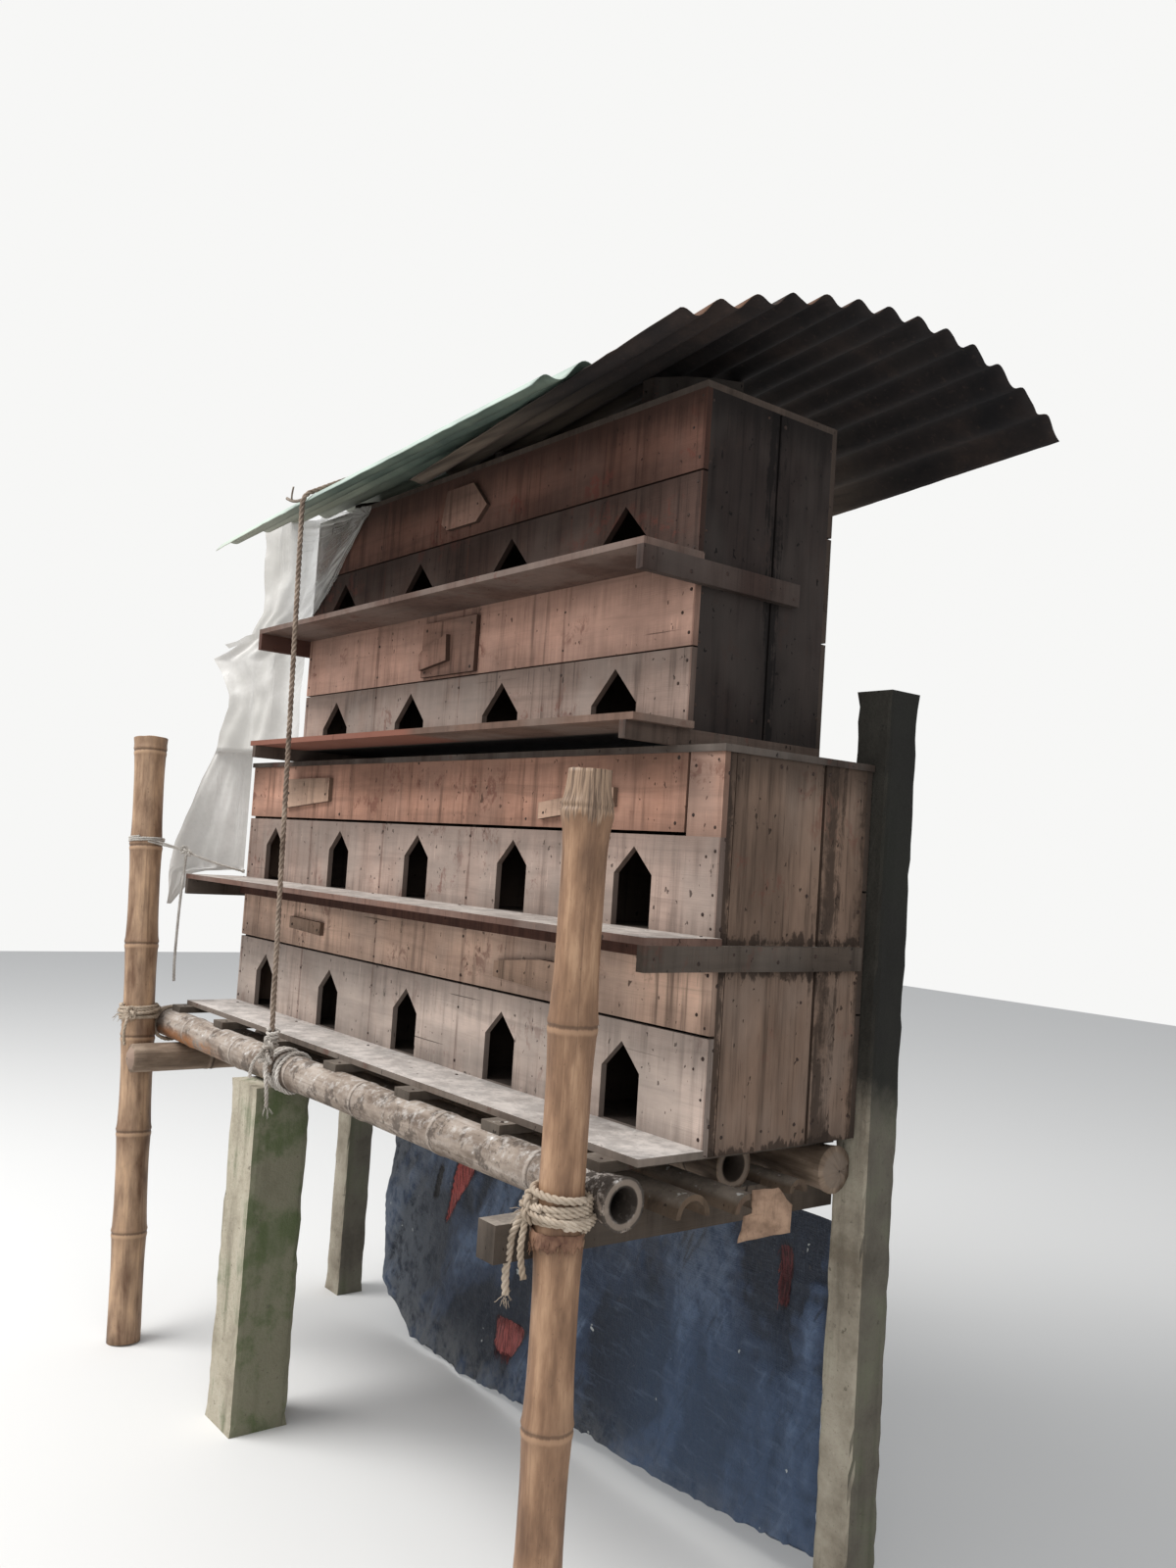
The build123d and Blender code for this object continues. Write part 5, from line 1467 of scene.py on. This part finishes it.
def filmFinish():
    f = Finish("clearFilm")
    haze = f.noise(f.place, 7.0, 5.0, 0.62)
    corner = spot(-1100, 0, 1058)
    turnTo = f.node("Math", {"operation": "ARCTAN2"}, {0: f.z - corner.z, 1: f.x - corner.x})
    rays = f.noise(f.vector(turnTo * 13.0, f.z * 2.0, 0.0), 1.0, 4.0, 0.62)
    hanging = f.noise(f.vector(f.x * 46.0, f.y * 46.0, f.z * 3.2), 1.0, 4.0, 0.65)
    free = f.fade(f.x, spot(-1300, 0, 0).x, spot(-1420, 0, 0).x)
    crease = f.fade(rays, 0.46, 0.72) * (1 - free) + f.fade(hanging, 0.50, 0.80) * free * 0.6
    f.paint = f.mix(f.fade(haze, 0.36, 0.66), (0.43, 0.41, 0.375), (0.58, 0.56, 0.53))
    f.coat(crease * 0.5, (0.68, 0.67, 0.65))
    seen = crease * (0.50 - free * 0.42) + f.fade(haze, 0.38, 0.7) * 0.14 + free * 0.54 + 0.32
    return f.done(f.paint, 0.34, f.bump(crease + haze, 0.004, 0.6), Alpha=seen, Specular_IOR_Level=0.5)


filmPiece = meshPiece("clearFilm", points, faces, filmFinish(), True, ("film",))
clothMap(filmPiece, flat)
filmArea = sum(p.area for p in filmPiece.data.polygons)
print("cloth made, film", round(filmArea, 3))

# concrete posts


def concrete(name, low, high, look, bands, replaced, seed):
    nx, nz = 10, bands
    points, faces, index = [], [], {}

    def corner(i, j, k):
        key = (i, j, k)
        if key not in index:
            steps = zip(low, high, (i, j, k), (nx, nx, nz))
            p = Vector([a + (b - a) * at / count for a, b, at, count in steps])
            edges = (i in (0, nx)) + (j in (0, nx)) + (k in (0, nz))
            middle = Vector(((low[0] + high[0]) / 2, (low[1] + high[1]) / 2, p.z))
            inward = (middle - p).normalized() if (middle - p).length > 1 else Vector((0, 0, 0))
            if edges > 1 and 0 < k < nz:
                p += inward * (2.2 + abs(noise.noise(p * 0.03 + Vector((seed, 0, 0)))) * 6.0)
            elif k not in (0, nz):
                p += inward * (0.4 + abs(noise.noise(p * 0.02 + Vector((seed, 0, 0)))) * 1.6)
            index[key] = len(points)
            points.append(spot(*p))
        return index[key]

    def quad(*keys):
        faces.append(tuple(corner(*key) for key in keys))

    for k in range(nz):
        for i in range(nx):
            quad((i, 0, k), (i + 1, 0, k), (i + 1, 0, k + 1), (i, 0, k + 1))
            quad((i, nx, k), (i, nx, k + 1), (i + 1, nx, k + 1), (i + 1, nx, k))
        for j in range(nx):
            quad((0, j, k), (0, j, k + 1), (0, j + 1, k + 1), (0, j + 1, k))
            quad((nx, j, k), (nx, j + 1, k), (nx, j + 1, k + 1), (nx, j, k + 1))
    for i in range(nx):
        for j in range(nx):
            quad((i, j, 0), (i, j + 1, 0), (i + 1, j + 1, 0), (i + 1, j, 0))
            quad((i, j, nz), (i + 1, j, nz), (i + 1, j + 1, nz), (i, j + 1, nz))
    f = Finish(name + "Concrete")
    broad = f.noise(f.place, 9.0, 5.0, 0.65)
    grit = f.noise(f.place, 160.0, 4.0, 0.7)
    run = f.noise(f.vector(f.x * 30.0, f.y * 30.0, f.z * 3.0), 1.0, 4.0, 0.6)
    facing = f.facing()
    aside = f.fade(facing[0], 0.3, 0.8)
    f.paint = f.ramp(broad, [(0.32, look["dark"]), (0.5, look["mid"]), (0.66, look["pale"])])
    f.coat(f.fade(grit, 0.55, 0.75) * 0.5, scaled(look["dark"], 0.6))
    f.coat(f.fade(run, 0.5, 0.7) * 0.45, scaled(look["dark"], 0.6))
    # painted shade: faces toward +x take the darker side colour
    f.coat(aside * 0.72, look["side"])
    moss = f.fade(broad + run * 0.5, 0.74, 0.92) * look["moss"]
    f.coat(moss, (0.085, 0.115, 0.045))
    f.coat(aside * f.fade(broad, 0.40, 0.60) * look["moss"], (0.060, 0.088, 0.030))
    pit = f.noise(f.place, 70.0, 3.0, 0.6)
    f.coat(f.fade(pit, 0.66, 0.72) * 0.6, scaled(look["dark"], 0.35))
    # near black above the look's given height, in metres
    upper = f.fade(f.z + (broad - 0.5) * 0.2, look["nearBlackAbove"], look["nearBlackAbove"] + 0.10)
    f.coat(upper * 0.92, (0.012, 0.012, 0.011))
    finish = f.done(f.paint, 0.93, f.bump(grit + broad, 0.0025, 0.7), Specular_IOR_Level=0.2)
    return meshPiece(name, points, faces, finish, False, replaced)


# side is painted shade: the colour of faces toward +x
rearLook = {"dark": (0.19, 0.16, 0.12), "mid": (0.34, 0.30, 0.235), "pale": (0.47, 0.42, 0.34),
            "side": (0.042, 0.040, 0.034), "moss": 0.16, "nearBlackAbove": 0.70}
stoneLook = {"dark": (0.27, 0.235, 0.175), "mid": (0.42, 0.375, 0.29), "pale": (0.52, 0.475, 0.385),
             "side": (0.13, 0.13, 0.085), "moss": 0.55, "nearBlackAbove": 3.0}
postWide = 66
lowest, highest = map(fromFrame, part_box("rear_posts"))
frontLow, frontHigh = map(fromFrame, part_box("front_post"))
rightLow = Vector((highest.x - postWide, lowest.y, -700))
leftHighest = Vector((lowest.x + postWide, highest.y, highest.z))
concrete("rearPostRight", rightLow, highest, rearLook, 60, ("rear_posts",), 1.0)
concrete("rearPostLeft", lowest, leftHighest, rearLook, 60, (), 5.0)
concrete("frontPost", frontLow, frontHigh, stoneLook, 30, ("front_post",), 9.0)
print("posts made")
